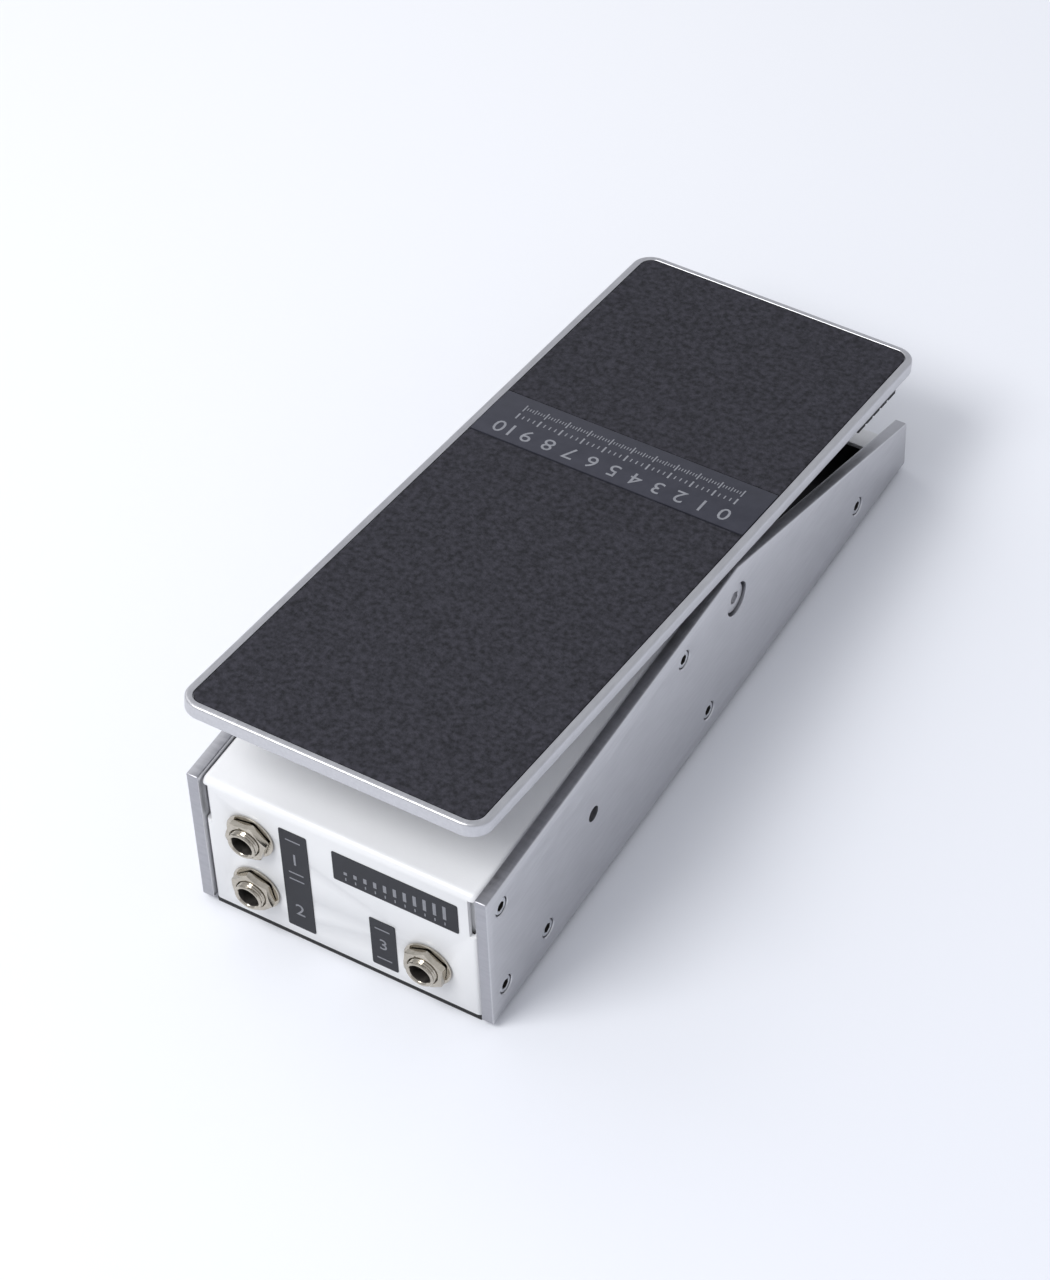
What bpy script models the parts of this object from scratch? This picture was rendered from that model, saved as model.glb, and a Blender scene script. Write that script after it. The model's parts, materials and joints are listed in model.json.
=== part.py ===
"""Foot-operated volume pedal: aluminium chassis, tilting treadle, geared potentiometer, three jacks.

Chassis coordinates, used for everything that stands still: X across the pedal from its centre
plane, Y from the side plates' toe-end edge towards the heel, Z up from their lower edge.
Treadle coordinates, used for everything that tilts: X across, T along the treadle towards the
heel and N square to it, both from the pivot axis.
"""
import math

import bmesh
import bpy
from mathutils import Matrix, Vector

MM = 0.001
DEG = math.pi / 180
GAP = 0.3 * MM                  # between pieces that touch
BEYOND = 1 * MM                 # how far a cutting tool passes the face that it goes through
OPEN_SIDE = 10 * MM             # how far it passes a side that stays open
PICK = 0.1 * MM                 # how close an edge lies to a face to count as on it
BORE_SIDES = 20                 # round holes and shafts
SMALL_SIDES = 12                # screw heads, small holes
SHANK_SIDES = 10
FOLD_STEPS = 4                  # straight stretches in the outside of a sheet's fold
INNER_STEPS = 2
ROUND_STEPS = 5                 # in a rounded corner
HALF_TURN = 180 * DEG
QUARTER_TURN = 90 * DEG

# Side plates
CHASSIS_WIDTH = 100 * MM        # over the plates' outer faces
PLATE_THICKNESS = 4 * MM
PLATE_FRONT_HEIGHT = 54.2 * MM
PLATE_PEAK_HEIGHT = 55.5 * MM
PLATE_PEAK_Y = 145.5 * MM
PLATE_LENGTH = 258.2 * MM
PLATE_HEEL_HEIGHT = 17.8 * MM
PLATE_CHAMFER = 0.5 * MM

# Folded covers and base
SHEET = 1.5 * MM
FOLD_RADIUS = 2.6 * MM
PANEL_SETBACK = 0.8 * MM        # jack panel behind the plates' toe-end edge
PANEL_LOW = 0.3 * MM
DECK_DROP = 0.5 * MM            # deck below the plates' front corner
DECK_END = 118 * MM
DECK_FLANGE_DEPTH = 14 * MM
PANEL_FLANGE_END = 16 * MM
NOTCH_WIDTH = 2.4 * MM
NOTCH_DROP = 2 * MM             # notch below the deck
NOTCH_LENGTH = 16 * MM
REAR_MARGIN = 0.7 * MM          # rear cover short of the plates' heel end
REAR_LENGTH = 45.5 * MM
REAR_END = PLATE_LENGTH - REAR_MARGIN
REAR_START = REAR_END - REAR_LENGTH
REAR_FLANGE_HEIGHT = 16 * MM
REAR_LIP_LENGTH = 11.5 * MM
REAR_LIP_START = REAR_END - REAR_LIP_LENGTH
REAR_DROP = 8 * MM              # lip below the plates' slope, square to it
BASE_LOW = 0.2 * MM
BASE_MARGIN = 1.2 * MM          # base plate short of the plates' heel end
BASE_END = PLATE_LENGTH - BASE_MARGIN
BASE_FOLD = 1.6 * MM
BASE_FLANGE_HEIGHT = 15 * MM
BASE_FLANGE_START = 18 * MM
BASE_FLANGE_MARGIN = 7 * MM     # turned-up edges short of the rear cover
BASE_FLANGE_END = REAR_START - BASE_FLANGE_MARGIN
FOOT_HEIGHT = 2 * MM            # from the floor to the plates' lower edge
FOOT_SIDE_MARGIN = 1.2 * MM     # from each side of the base plate
FOOT_WIDTH = 12 * MM
FOOT_MARGIN = 1.5 * MM          # from each end of the side plates
STRIP_CORNER = 2 * MM           # of the foot strips and the toe bumper

# Side screws: (y, z) of each
COVER_SCREWS = [(8 * MM, 45.4 * MM), (8 * MM, 10 * MM), (112.9 * MM, 46.3 * MM)]
BASE_SCREWS = [(31.7 * MM, 9.5 * MM), (127.8 * MM, 9 * MM)]
REAR_SCREW_INSET = 12.7 * MM     # from the rear cover's toe-side edge
REAR_SCREWS = [(REAR_START + REAR_SCREW_INSET, 10 * MM)]
SIDE_SCREWS = COVER_SCREWS + BASE_SCREWS + REAR_SCREWS
HEAD_RADIUS = 2.8 * MM
HEAD_HEIGHT = 1.4 * MM
HEAD_CHAMFER = 0.3 * MM
HEAD_SINK = 0.3 * MM            # head's top below the plate's face
SHANK_RADIUS = 1.3 * MM
SHANK_REACH = 2.2 * MM          # beyond the flange it holds
HEX_RADIUS = 1.25 * MM
HEX_DEPTH = 0.9 * MM

# Pivot
PIVOT_Y = 145.1 * MM
PIVOT_Z = 42.3 * MM
SHAFT_RADIUS = 4 * MM
PIVOT_HEAD_RADIUS = 5.4 * MM
PIVOT_HEAD_HEIGHT = 2.1 * MM
PIVOT_SHANK_RADIUS = 2 * MM
PIVOT_SHANK_LENGTH = 13 * MM
PIVOT_HEX_RADIUS = 2.3 * MM
PIVOT_HEX_DEPTH = 1.3 * MM
BUSH_WALL = 1.4 * MM
BUSH_FLANGE_RADIUS = 8 * MM
BUSH_FLANGE_THICKNESS = 1 * MM
THRUST_WASHER_THICKNESS = 1.1 * MM

# Treadle
REST_TILT = 9.49 * DEG          # toe end raised, as photographed
TREADLE_WIDTH = 100 * MM
TREADLE_LENGTH = 269.2 * MM
TREADLE_TOE = -150.53 * MM      # T of its toe edge
TREADLE_UNDER = 15.1 * MM       # N of its lower face
TREADLE_THICKNESS = 4.8 * MM
TREADLE_CORNER = 7 * MM
TREADLE_EDGE = 0.5 * MM
PAD_MARGIN = 2.5 * MM
PAD_RECESS = 1 * MM
PAD_THICKNESS = 0.87 * MM
PAD_CORNER = 4 * MM
TOE_PAD_LENGTH = 152.5 * MM
STRIP_LENGTH = 23 * MM
PAD_SEAM = 0.5 * MM
EAR_THICKNESS = 2.5 * MM
EAR_RADIUS = 14 * MM
EAR_DROOP = 20 * DEG            # where the ear's round end meets its straight sides
EAR_STEPS = 12
YOKE_LENGTH = 40 * MM           # along the treadle
YOKE_FOLD = 3 * MM
YOKE_SCREW_INSET = 18.5 * MM    # from the ear's inner face
YOKE_SCREW_DEPTH = 2.8 * MM     # into the treadle plate
HEEL_BUMPER_START = 88 * MM
HEEL_BUMPER_LENGTH = 26 * MM
HEEL_BUMPER_THICKNESS = 9.5 * MM
BUMPER_ROUND = 1.2 * MM
TOE_BUMPER_START = -139 * MM
TOE_BUMPER_LENGTH = 12 * MM
TOE_BUMPER_MARGIN = 10 * MM     # from each side of the treadle
TOE_BUMPER_THICKNESS = 3.2 * MM

# Gears
MESH_DISTANCE = 60 * MM         # pivot axis to potentiometer axis
PRESSURE_ANGLE = 25 * DEG
SECTOR_TEETH = 108              # of the full wheel that the sector is part of
SECTOR_CUT_TEETH = 10
PINION_TEETH = 12
FLANK_STEPS = 2                 # straight stretches in each involute
PINION_TIP = 0.9                # the pinion teeth's height over the pitch circle, in modules
SECTOR_TIP = 0.85               # height of the sector's teeth over the pitch circle, in modules
TOOTH_THINNING = 0.18 * MM      # off each tooth's width, for running clearance
ROOT_CLEARANCE = 0.3 * MM
MESH_ANGLE = 198 * DEG          # direction from pivot to pinion, about +X from +Y
SECTOR_THICKNESS = 3 * MM
SECTOR_HUB_TOP = 11.7 * MM
SECTOR_HUB_START = 62 * DEG     # from the sector's middle to where its hub's round begins
SECTOR_HUB_STEPS = 14
SECTOR_HOLE_RADIUS = 6.5 * MM
SECTOR_HOLE_OFFSET = 33 * MM
SECTOR_SCREW_OFFSET = 11 * MM
SECTOR_SCREW_ANGLES = [-55 * DEG, 55 * DEG]
SMALL_HEAD_RADIUS = 2.3 * MM
SMALL_SHANK_RADIUS = 1.2 * MM
PINION_FACE = 5 * MM
PINION_HUB_RADIUS = 5.2 * MM
PINION_HUB_LENGTH = 4 * MM
PINION_CLEARANCE = 0.7 * MM     # from its hub to the potentiometer's bushing

# Potentiometer
POT_RADIUS = 12 * MM
POT_DEPTH = 10.2 * MM
POT_CHAMFER = 0.8 * MM
POT_BUSHING_RADIUS = 4.75 * MM
POT_BUSHING_LENGTH = 7.8 * MM
POT_SHAFT_RADIUS = 3.175 * MM
POT_SOCKET_DEPTH = 6 * MM       # shaft's seat inside the body
POT_BRACKET_HALF = 14 * MM
POT_BRACKET_TOP = 38 * MM
POT_FOOT_REACH = 19.5 * MM
BRACKET_SHEET = 1.5 * MM
WASHER_THICKNESS = 0.6 * MM
POT_NUT_RADIUS = 7.2 * MM
POT_NUT_THICKNESS = 2.4 * MM
LUG_WIDTH = 2.4 * MM
LUG_THICKNESS = 0.8 * MM
LUG_LENGTH = 6 * MM
POT_LUG_PITCH = 6 * MM

# Minimum-volume trimmer
TRIMMER_Y = 58.8 * MM
TRIMMER_Z = 32.7 * MM
ACCESS_RADIUS = 2.6 * MM
TRIMMER_SIZE = 9.6 * MM
TRIMMER_DEPTH = 5 * MM
TRIMMER_SETBACK = 3.5 * MM      # its face behind the right plate's inner face
ROTOR_RADIUS = 3.6 * MM
ROTOR_DEPTH = 2.2 * MM
ROTOR_PROUD = 0.4 * MM
SLOT_WIDTH = 0.9 * MM
SLOT_DEPTH = 1 * MM
TRIMMER_BRACKET_HALF = 7 * MM
TRIMMER_BRACKET_TOP = 39 * MM
TRIMMER_FOOT_REACH = 16 * MM
TRIMMER_LUG_PITCH = 2.5 * MM
TRIMMER_LUG_WIDTH = 1 * MM
TRIMMER_LUG_LENGTH = 4 * MM

# Jacks
LEFT_JACK_INSET = 15.9 * MM     # from the cover's side
RIGHT_JACK_INSET = 17 * MM
UPPER_JACK_HEIGHT = 37.8 * MM
LEFT_JACK_HEIGHT = 14.4 * MM
RIGHT_JACK_HEIGHT = 15 * MM
SOCKET_RADIUS = 3.3 * MM
JACK_BUSHING_RADIUS = 4.7 * MM
JACK_BUSHING_TIP = -4.6 * MM
JACK_BUSHING_CHAMFER = 0.25 * MM
JACK_FLANGE_RADIUS = 6.4 * MM
JACK_FLANGE_THICKNESS = 1 * MM
JACK_WASHER_RADIUS = 7.9 * MM
JACK_NUT_RADIUS = 7.3 * MM
JACK_NUT_THICKNESS = 2.4 * MM
JACK_BODY_WIDTH = 16 * MM
JACK_BODY_HEIGHT = 17 * MM
JACK_BODY_DEPTH = 24 * MM
JACK_CHAMBER = 8.6 * MM
JACK_BACK_WALL = 2 * MM
JACK_LUG_PITCH = 4.5 * MM
JACK_LUG_WIDTH = 2 * MM
JACK_LUG_LENGTH = 5 * MM

# Leads
LEAD_RADIUS = 1.2 * MM
LEAD_STRAIGHT = 7 * MM          # before a lead starts to bend at each end

# Values that follow from the sizes above
INNER_FACE = CHASSIS_WIDTH / 2 - PLATE_THICKNESS
COVER_HALF = INNER_FACE - GAP
FLANGE_FACE = COVER_HALF - SHEET
COVER_LOW = BASE_LOW + SHEET + GAP
PANEL_BACK = PANEL_SETBACK + SHEET
BASE_START = PANEL_BACK + GAP
DECK_HEIGHT = PLATE_FRONT_HEIGHT - DECK_DROP
NOTCH_HIGH = DECK_HEIGHT - NOTCH_DROP
NOTCH_LOW = NOTCH_HIGH - NOTCH_LENGTH
HOLE_ROUND = GAP                # a clearance hole's radius over its screw's
WASHER_OUT = INNER_FACE - GAP
WASHER_IN = WASHER_OUT - THRUST_WASHER_THICKNESS
BUSH_OUT = WASHER_IN - GAP
EAR_OUT = BUSH_OUT - BUSH_FLANGE_THICKNESS - GAP
EAR_IN = EAR_OUT - EAR_THICKNESS
BUSH_BORE = SHAFT_RADIUS + GAP
BUSH_RADIUS = BUSH_BORE + BUSH_WALL
EAR_HOLE = BUSH_RADIUS + GAP
SECTOR_OUT = EAR_IN - GAP
SECTOR_IN = SECTOR_OUT - SECTOR_THICKNESS
PINION_OUT = SECTOR_OUT + (PINION_FACE - SECTOR_THICKNESS) / 2
PINION_IN = PINION_OUT - PINION_FACE
POT_FACE_X = PINION_IN - PINION_HUB_LENGTH - PINION_CLEARANCE - POT_BUSHING_LENGTH
POT_BRACKET_X = POT_FACE_X + GAP        # the bracket's face towards the body
TRIMMER_FACE_X = INNER_FACE - TRIMMER_SETBACK
YOKE_SCREW_X = EAR_IN - YOKE_SCREW_INSET
JACKS = [                       # name, (x, z) of the socket
    ("upper_left", LEFT_JACK_INSET - COVER_HALF, UPPER_JACK_HEIGHT),
    ("lower_left", LEFT_JACK_INSET - COVER_HALF, LEFT_JACK_HEIGHT),
    ("right", COVER_HALF - RIGHT_JACK_INSET, RIGHT_JACK_HEIGHT),
]
MODULE = 2 * MESH_DISTANCE / (SECTOR_TEETH + PINION_TEETH)
POT_Y = PIVOT_Y + MESH_DISTANCE * math.cos(MESH_ANGLE)
POT_Z = PIVOT_Z + MESH_DISTANCE * math.sin(MESH_ANGLE)
TREADLE_TOP = TREADLE_UNDER + TREADLE_THICKNESS
TREADLE_HEEL = TREADLE_TOE + TREADLE_LENGTH
SLOPE = math.atan2(PLATE_PEAK_HEIGHT - PLATE_HEEL_HEIGHT, PLATE_LENGTH - PLATE_PEAK_Y)
HEEL_REACH = (PIVOT_Y + TREADLE_HEEL * math.cos(REST_TILT)
              + (TREADLE_TOP - TREADLE_EDGE) * math.sin(REST_TILT))
FRONT_Y = -(JACK_BUSHING_TIP + HEEL_REACH) / 2


# Scene and materials

for old in list(bpy.data.objects):
    bpy.data.objects.remove(old)

parts = bpy.data.collections.new("volume_pedal")
bpy.context.scene.collection.children.link(parts)
cutters = bpy.data.collections.new("cutters")
bpy.context.scene.collection.children.link(cutters)
cutters.hide_render = True


def material(name, color, roughness, metallic=0.0):
    mat = bpy.data.materials.new(name)
    mat.use_nodes = True
    shader = mat.node_tree.nodes["Principled BSDF"]
    shader.inputs["Base Color"].default_value = (*color, 1.0)
    shader.inputs["Roughness"].default_value = roughness
    shader.inputs["Metallic"].default_value = metallic
    return mat


ALUMINIUM = ((0.62, 0.62, 0.64), 0.38, 1.0)
WHITE_PAINT = ((0.85, 0.85, 0.86), 0.35, 0.0)
DARK_STEEL = ((0.05, 0.05, 0.055), 0.5, 0.6)
ZINC_STEEL = ((0.55, 0.56, 0.58), 0.35, 1.0)
BLACK_SCREW = ((0.06, 0.06, 0.065), 0.35, 0.8)
NICKEL = ((0.72, 0.70, 0.66), 0.25, 1.0)
BRASS = ((0.75, 0.58, 0.28), 0.35, 1.0)
RUBBER = ((0.02, 0.02, 0.022), 0.8, 0.0)
GRIT = ((0.045, 0.045, 0.055), 0.9, 0.0)
SMOOTH_STRIP = ((0.07, 0.07, 0.085), 0.5, 0.0)
NYLON = ((0.8, 0.79, 0.74), 0.5, 0.0)
BLACK_PLASTIC = ((0.03, 0.03, 0.033), 0.45, 0.0)
BLUE_PLASTIC = ((0.04, 0.12, 0.35), 0.4, 0.0)
RED_WIRE = ((0.5, 0.03, 0.03), 0.45, 0.0)
GREY_WIRE = ((0.2, 0.2, 0.21), 0.45, 0.0)

# Directions that a turned or extruded mesh's own +Z can be laid along
ALONG_X = Matrix(((0, 0, 1, 0), (1, 0, 0, 0), (0, 1, 0, 0), (0, 0, 0, 1)))
ALONG_MINUS_X = Matrix.Scale(-1, 4, Vector((1, 0, 0))) @ Matrix.Scale(-1, 4, Vector((0, 1, 0))) @ ALONG_X
ALONG_MINUS_Y = Matrix.Rotation(90 * DEG, 4, "X")
ALONG_MINUS_Z = Matrix.Rotation(180 * DEG, 4, "X")


# Frames that pieces are placed in

def empty(name, location, parent=None, tilt=0.0):
    point = bpy.data.objects.new(name, None)
    parts.objects.link(point)
    point.parent = parent
    point.location = location
    point.rotation_euler = (tilt, 0, 0)
    return point


chassis = empty("chassis_datum", (0, FRONT_Y, FOOT_HEIGHT))
treadle_pivot = empty("treadle_pivot", (0, PIVOT_Y, PIVOT_Z), chassis, -REST_TILT)
pot_axis = empty("pot_axis", (0, POT_Y, POT_Z), chassis)
trimmer_axis = empty("trimmer_axis", (0, TRIMMER_Y, TRIMMER_Z), chassis)


# Mesh makers

def finished_mesh(helper):
    """The helper object's shape with its modifiers or curve settings applied; the helper is removed."""
    bpy.context.view_layer.update()
    depsgraph = bpy.context.evaluated_depsgraph_get()
    mesh = bpy.data.meshes.new_from_object(helper.evaluated_get(depsgraph))
    bpy.data.objects.remove(helper)
    return mesh


def mesh_from(bm, name="shape"):
    mesh = bpy.data.meshes.new(name)
    bm.to_mesh(mesh)
    bm.free()
    return mesh


def moved(mesh, matrix):
    mesh.transform(matrix)
    return mesh


def at(x, y, z):
    return Matrix.Translation((x, y, z))


def box_mesh(low, high, rounded=None, radius=0.0, segments=3):
    """A box between two corners; rounded(edge middle, size) picks edges to round off."""
    low = Vector(low)
    size = Vector(high) - low
    bm = bmesh.new()
    bmesh.ops.create_cube(bm, size=1)
    bmesh.ops.scale(bm, vec=size, verts=bm.verts)
    bmesh.ops.translate(bm, vec=low + size / 2, verts=bm.verts)
    if rounded:
        picked = [edge for edge in bm.edges if rounded((edge.verts[0].co + edge.verts[1].co) / 2)]
        bmesh.ops.bevel(bm, geom=picked, offset=radius, segments=segments, profile=0.5, affect="EDGES")
    return mesh_from(bm)


def rod_mesh(radius, low, high, sides=BORE_SIDES, inner=0.0):
    """A cylinder along Z from low to high, or a tube when an inner radius is given."""
    profile = [(0, high), (radius, high), (radius, low), (0, low)]
    if inner:
        profile = [(inner, high), (radius, high), (radius, low), (inner, low)]
    return turned_mesh(profile, sides, closed=bool(inner))


def turned_mesh(profile, sides=BORE_SIDES, closed=False):
    """A (radius, height) profile, listed down its outer side, turned about Z."""
    bm = bmesh.new()
    verts = [bm.verts.new((radius, 0, height)) for radius, height in profile]
    for start, end in zip(verts, verts[1:]):
        bm.edges.new((start, end))
    if closed:
        bm.edges.new((verts[-1], verts[0]))
    helper = bpy.data.objects.new("turning", mesh_from(bm))
    cutters.objects.link(helper)
    screw = helper.modifiers.new("turn", "SCREW")
    screw.steps = sides
    screw.render_steps = sides
    screw.use_merge_vertices = True
    screw.merge_threshold = 0.00001
    return finished_mesh(helper)


def flat_mesh(loops, low, high):
    """Closed outlines in XY, the first one outside and the others holes, thickened from low to high."""
    curve = bpy.data.curves.new("outline", "CURVE")
    curve.dimensions = "2D"
    curve.fill_mode = "BOTH"
    curve.extrude = (high - low) / 2
    for loop in loops:
        spline = curve.splines.new("POLY")
        spline.points.add(len(loop) - 1)
        spline.use_cyclic_u = True
        for point, (x, y) in zip(spline.points, loop):
            point.co = (x, y, 0, 1)
    helper = bpy.data.objects.new("outline", curve)
    cutters.objects.link(helper)
    mesh = finished_mesh(helper)
    bpy.data.curves.remove(curve)
    bm = bmesh.new()
    bm.from_mesh(mesh)
    bmesh.ops.remove_doubles(bm, verts=bm.verts, dist=0.000001)
    bmesh.ops.recalc_face_normals(bm, faces=bm.faces)
    bmesh.ops.translate(bm, vec=(0, 0, (low + high) / 2), verts=bm.verts)
    bm.to_mesh(mesh)
    bm.free()
    return mesh


def tube_mesh(points, radius):
    """A round wire through a smooth route."""
    curve = bpy.data.curves.new("wire", "CURVE")
    curve.dimensions = "3D"
    curve.bevel_depth = radius
    curve.bevel_resolution = 2
    curve.use_fill_caps = True
    spline = curve.splines.new("POLY")
    spline.points.add(len(points) - 1)
    for point, place in zip(spline.points, points):
        point.co = (*place, 1)
    helper = bpy.data.objects.new("wire", curve)
    cutters.objects.link(helper)
    mesh = finished_mesh(helper)
    bpy.data.curves.remove(curve)
    bm = bmesh.new()
    bm.from_mesh(mesh)
    bmesh.ops.remove_doubles(bm, verts=bm.verts, dist=0.000001)
    bm.to_mesh(mesh)
    bm.free()
    return mesh


def copies(mesh, places):
    """One copy of the mesh at each matrix in places."""
    bm = bmesh.new()
    for place in places:
        copy = mesh.copy()
        copy.transform(place)
        bm.from_mesh(copy)
        bpy.data.meshes.remove(copy)
    return mesh_from(bm)


def carved(mesh, tool, operation="DIFFERENCE"):
    """The mesh with the tool mesh cut away, joined on or kept as the common volume."""
    target = bpy.data.objects.new("target", mesh)
    cutter = bpy.data.objects.new("tool", tool)
    for helper in (target, cutter):
        cutters.objects.link(helper)
    boolean = target.modifiers.new(operation.lower(), "BOOLEAN")
    boolean.operation = operation
    boolean.solver = "EXACT"
    boolean.object = cutter
    result = finished_mesh(target)
    bpy.data.objects.remove(cutter)
    return result


# Outlines

def arc(centre, radius, start, end, steps):
    return [(centre[0] + radius * math.cos(start + (end - start) * i / steps),
             centre[1] + radius * math.sin(start + (end - start) * i / steps))
            for i in range(steps + 1)]


def rounded_outline(width, low, high, low_radius, high_radius):
    """A rectangle centred on X, from low to high, with its own corner radius at each end."""
    half = width / 2
    outline = []
    corners = ((1, -1, -QUARTER_TURN), (1, 1, 0), (-1, 1, QUARTER_TURN), (-1, -1, HALF_TURN))
    for x_side, y_side, start in corners:
        radius = low_radius if y_side < 0 else high_radius
        edge = low if y_side < 0 else high
        if radius:
            centre = (x_side * (half - radius), edge - y_side * radius)
            outline += arc(centre, radius, start, start + QUARTER_TURN, ROUND_STEPS)
        else:
            outline.append((x_side * half, edge))
    return outline


def fold_outline(face, back, low, top, reach, sheet, fold):
    """An L of folded sheet in (x, z): a leg between face and back, a foot towards -X from its foot."""
    inner = fold - sheet
    outer_arc = arc((face - fold, low + fold), fold, 0, -QUARTER_TURN, FOLD_STEPS)
    inner_arc = arc((back - inner, low + sheet + inner), inner, -QUARTER_TURN, 0, INNER_STEPS)
    foot = [(face - reach, low), (face - reach, low + sheet)]
    return [(face, top)] + outer_arc + foot + inner_arc + [(back, top)]


def node(name, mesh, look, parent=chassis, bevel=0.0, segments=1):
    """One named piece with its own material, placed in its parent's coordinates."""
    mesh.name = name
    piece = bpy.data.objects.new(name, mesh)
    parts.objects.link(piece)
    piece.parent = parent
    mesh.materials.clear()
    mesh.materials.append(material(name, *look))
    mesh.shade_smooth()
    mesh.set_sharp_from_angle(angle=35 * DEG)
    if bevel:
        edge = piece.modifiers.new("edges", "BEVEL")
        edge.width = bevel
        edge.segments = segments
        edge.limit_method = "ANGLE"
        edge.angle_limit = 60 * DEG
    return piece


def cut(piece, tool_mesh):
    """Cut away a tool given in the same coordinates as the piece."""
    tool = bpy.data.objects.new(piece.name + "_cutter", tool_mesh)
    cutters.objects.link(tool)
    tool.parent = piece.parent
    tool.hide_render = True
    tool.display_type = "WIRE"
    boolean = piece.modifiers.new("cut", "BOOLEAN")
    boolean.operation = "DIFFERENCE"
    boolean.solver = "EXACT"
    boolean.object = tool


# Fasteners

def screw_mesh(head_radius, head_height, shank_radius, shank_length, hex_radius=0.0, hex_depth=0.0):
    """A screw along Z: seat of its head at 0, shank below, hexagon socket in its top."""
    edge = HEAD_CHAMFER
    profile = [(0, head_height), (head_radius - edge, head_height), (head_radius, head_height - edge),
               (head_radius, 0), (shank_radius, 0), (shank_radius, -shank_length), (0, -shank_length)]
    screw = turned_mesh(profile, SMALL_SIDES)
    if hex_radius:
        screw = carved(screw, rod_mesh(hex_radius, head_height - hex_depth, head_height + hex_depth, 6))
    return screw


def counterbore_mesh(head_radius, seat, top, shank_radius, bottom):
    """The hole for a sunk screw along Z: head room above the seat, shank room below it."""
    profile = [(0, top), (head_radius, top), (head_radius, seat), (shank_radius, seat),
               (shank_radius, bottom), (0, bottom)]
    return turned_mesh(profile, SMALL_SIDES)


def nut_mesh(radius, bore, low, high):
    return carved(rod_mesh(radius, low, high, 6), rod_mesh(bore, low - BEYOND, high + BEYOND))


# Side plates and what screws into them

def side_axis(side):
    return ALONG_X if side > 0 else ALONG_MINUS_X


def plate_tool(side, places, mesh):
    """The mesh, made along Z, laid along X on one side of the pedal at each (y, z)."""
    return copies(mesh, [at(0, y, z) @ side_axis(side) for y, z in places])


def side_plate(name, side):
    outline = [(0, 0), (0, PLATE_FRONT_HEIGHT), (PLATE_PEAK_Y, PLATE_PEAK_HEIGHT),
               (PLATE_LENGTH, PLATE_HEEL_HEIGHT), (PLATE_LENGTH, 0)]
    low, high = sorted((side * INNER_FACE, side * CHASSIS_WIDTH / 2))
    plate = node(name, moved(flat_mesh([outline], low, high), ALONG_X), ALUMINIUM, bevel=PLATE_CHAMFER)
    face = CHASSIS_WIDTH / 2
    side_hole = counterbore_mesh(HEAD_RADIUS + GAP, face - HEAD_SINK - HEAD_HEIGHT - GAP, face + BEYOND,
                                 SHANK_RADIUS + HOLE_ROUND, INNER_FACE - BEYOND)
    cut(plate, plate_tool(side, SIDE_SCREWS, side_hole))
    pivot_hole = counterbore_mesh(PIVOT_HEAD_RADIUS + GAP, face - HEAD_SINK - PIVOT_HEAD_HEIGHT - GAP,
                                  face + BEYOND, PIVOT_SHANK_RADIUS + HOLE_ROUND, INNER_FACE - BEYOND)
    cut(plate, plate_tool(side, [(PIVOT_Y, PIVOT_Z)], pivot_hole))
    return plate


def side_screws(side_name, side):
    seat = CHASSIS_WIDTH / 2 - HEAD_SINK - HEAD_HEIGHT
    length = seat - FLANGE_FACE + SHANK_REACH
    screw = screw_mesh(HEAD_RADIUS, HEAD_HEIGHT, SHANK_RADIUS, length, HEX_RADIUS, HEX_DEPTH)
    screw = moved(screw, at(0, 0, seat))
    for number, place in enumerate(SIDE_SCREWS, 1):
        node(f"{side_name}_side_screw_{number}", plate_tool(side, [place], screw), ZINC_STEEL)


def flange_holes(piece, places):
    """Clearance holes for the side screws in both side flanges of a folded piece."""
    hole = rod_mesh(SHANK_RADIUS + HOLE_ROUND, FLANGE_FACE - 2 * SHEET, INNER_FACE + BEYOND, SMALL_SIDES)
    for side in (-1, 1):
        cut(piece, plate_tool(side, places, hole))


side_plate("left_side_plate", -1)
right_plate = side_plate("right_side_plate", 1)
access_hole = rod_mesh(ACCESS_RADIUS, INNER_FACE - BEYOND, CHASSIS_WIDTH / 2 + BEYOND)
cut(right_plate, plate_tool(1, [(TRIMMER_Y, TRIMMER_Z)], access_hole))
side_screws("left", -1)
side_screws("right", 1)


# Folded covers and base

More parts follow.
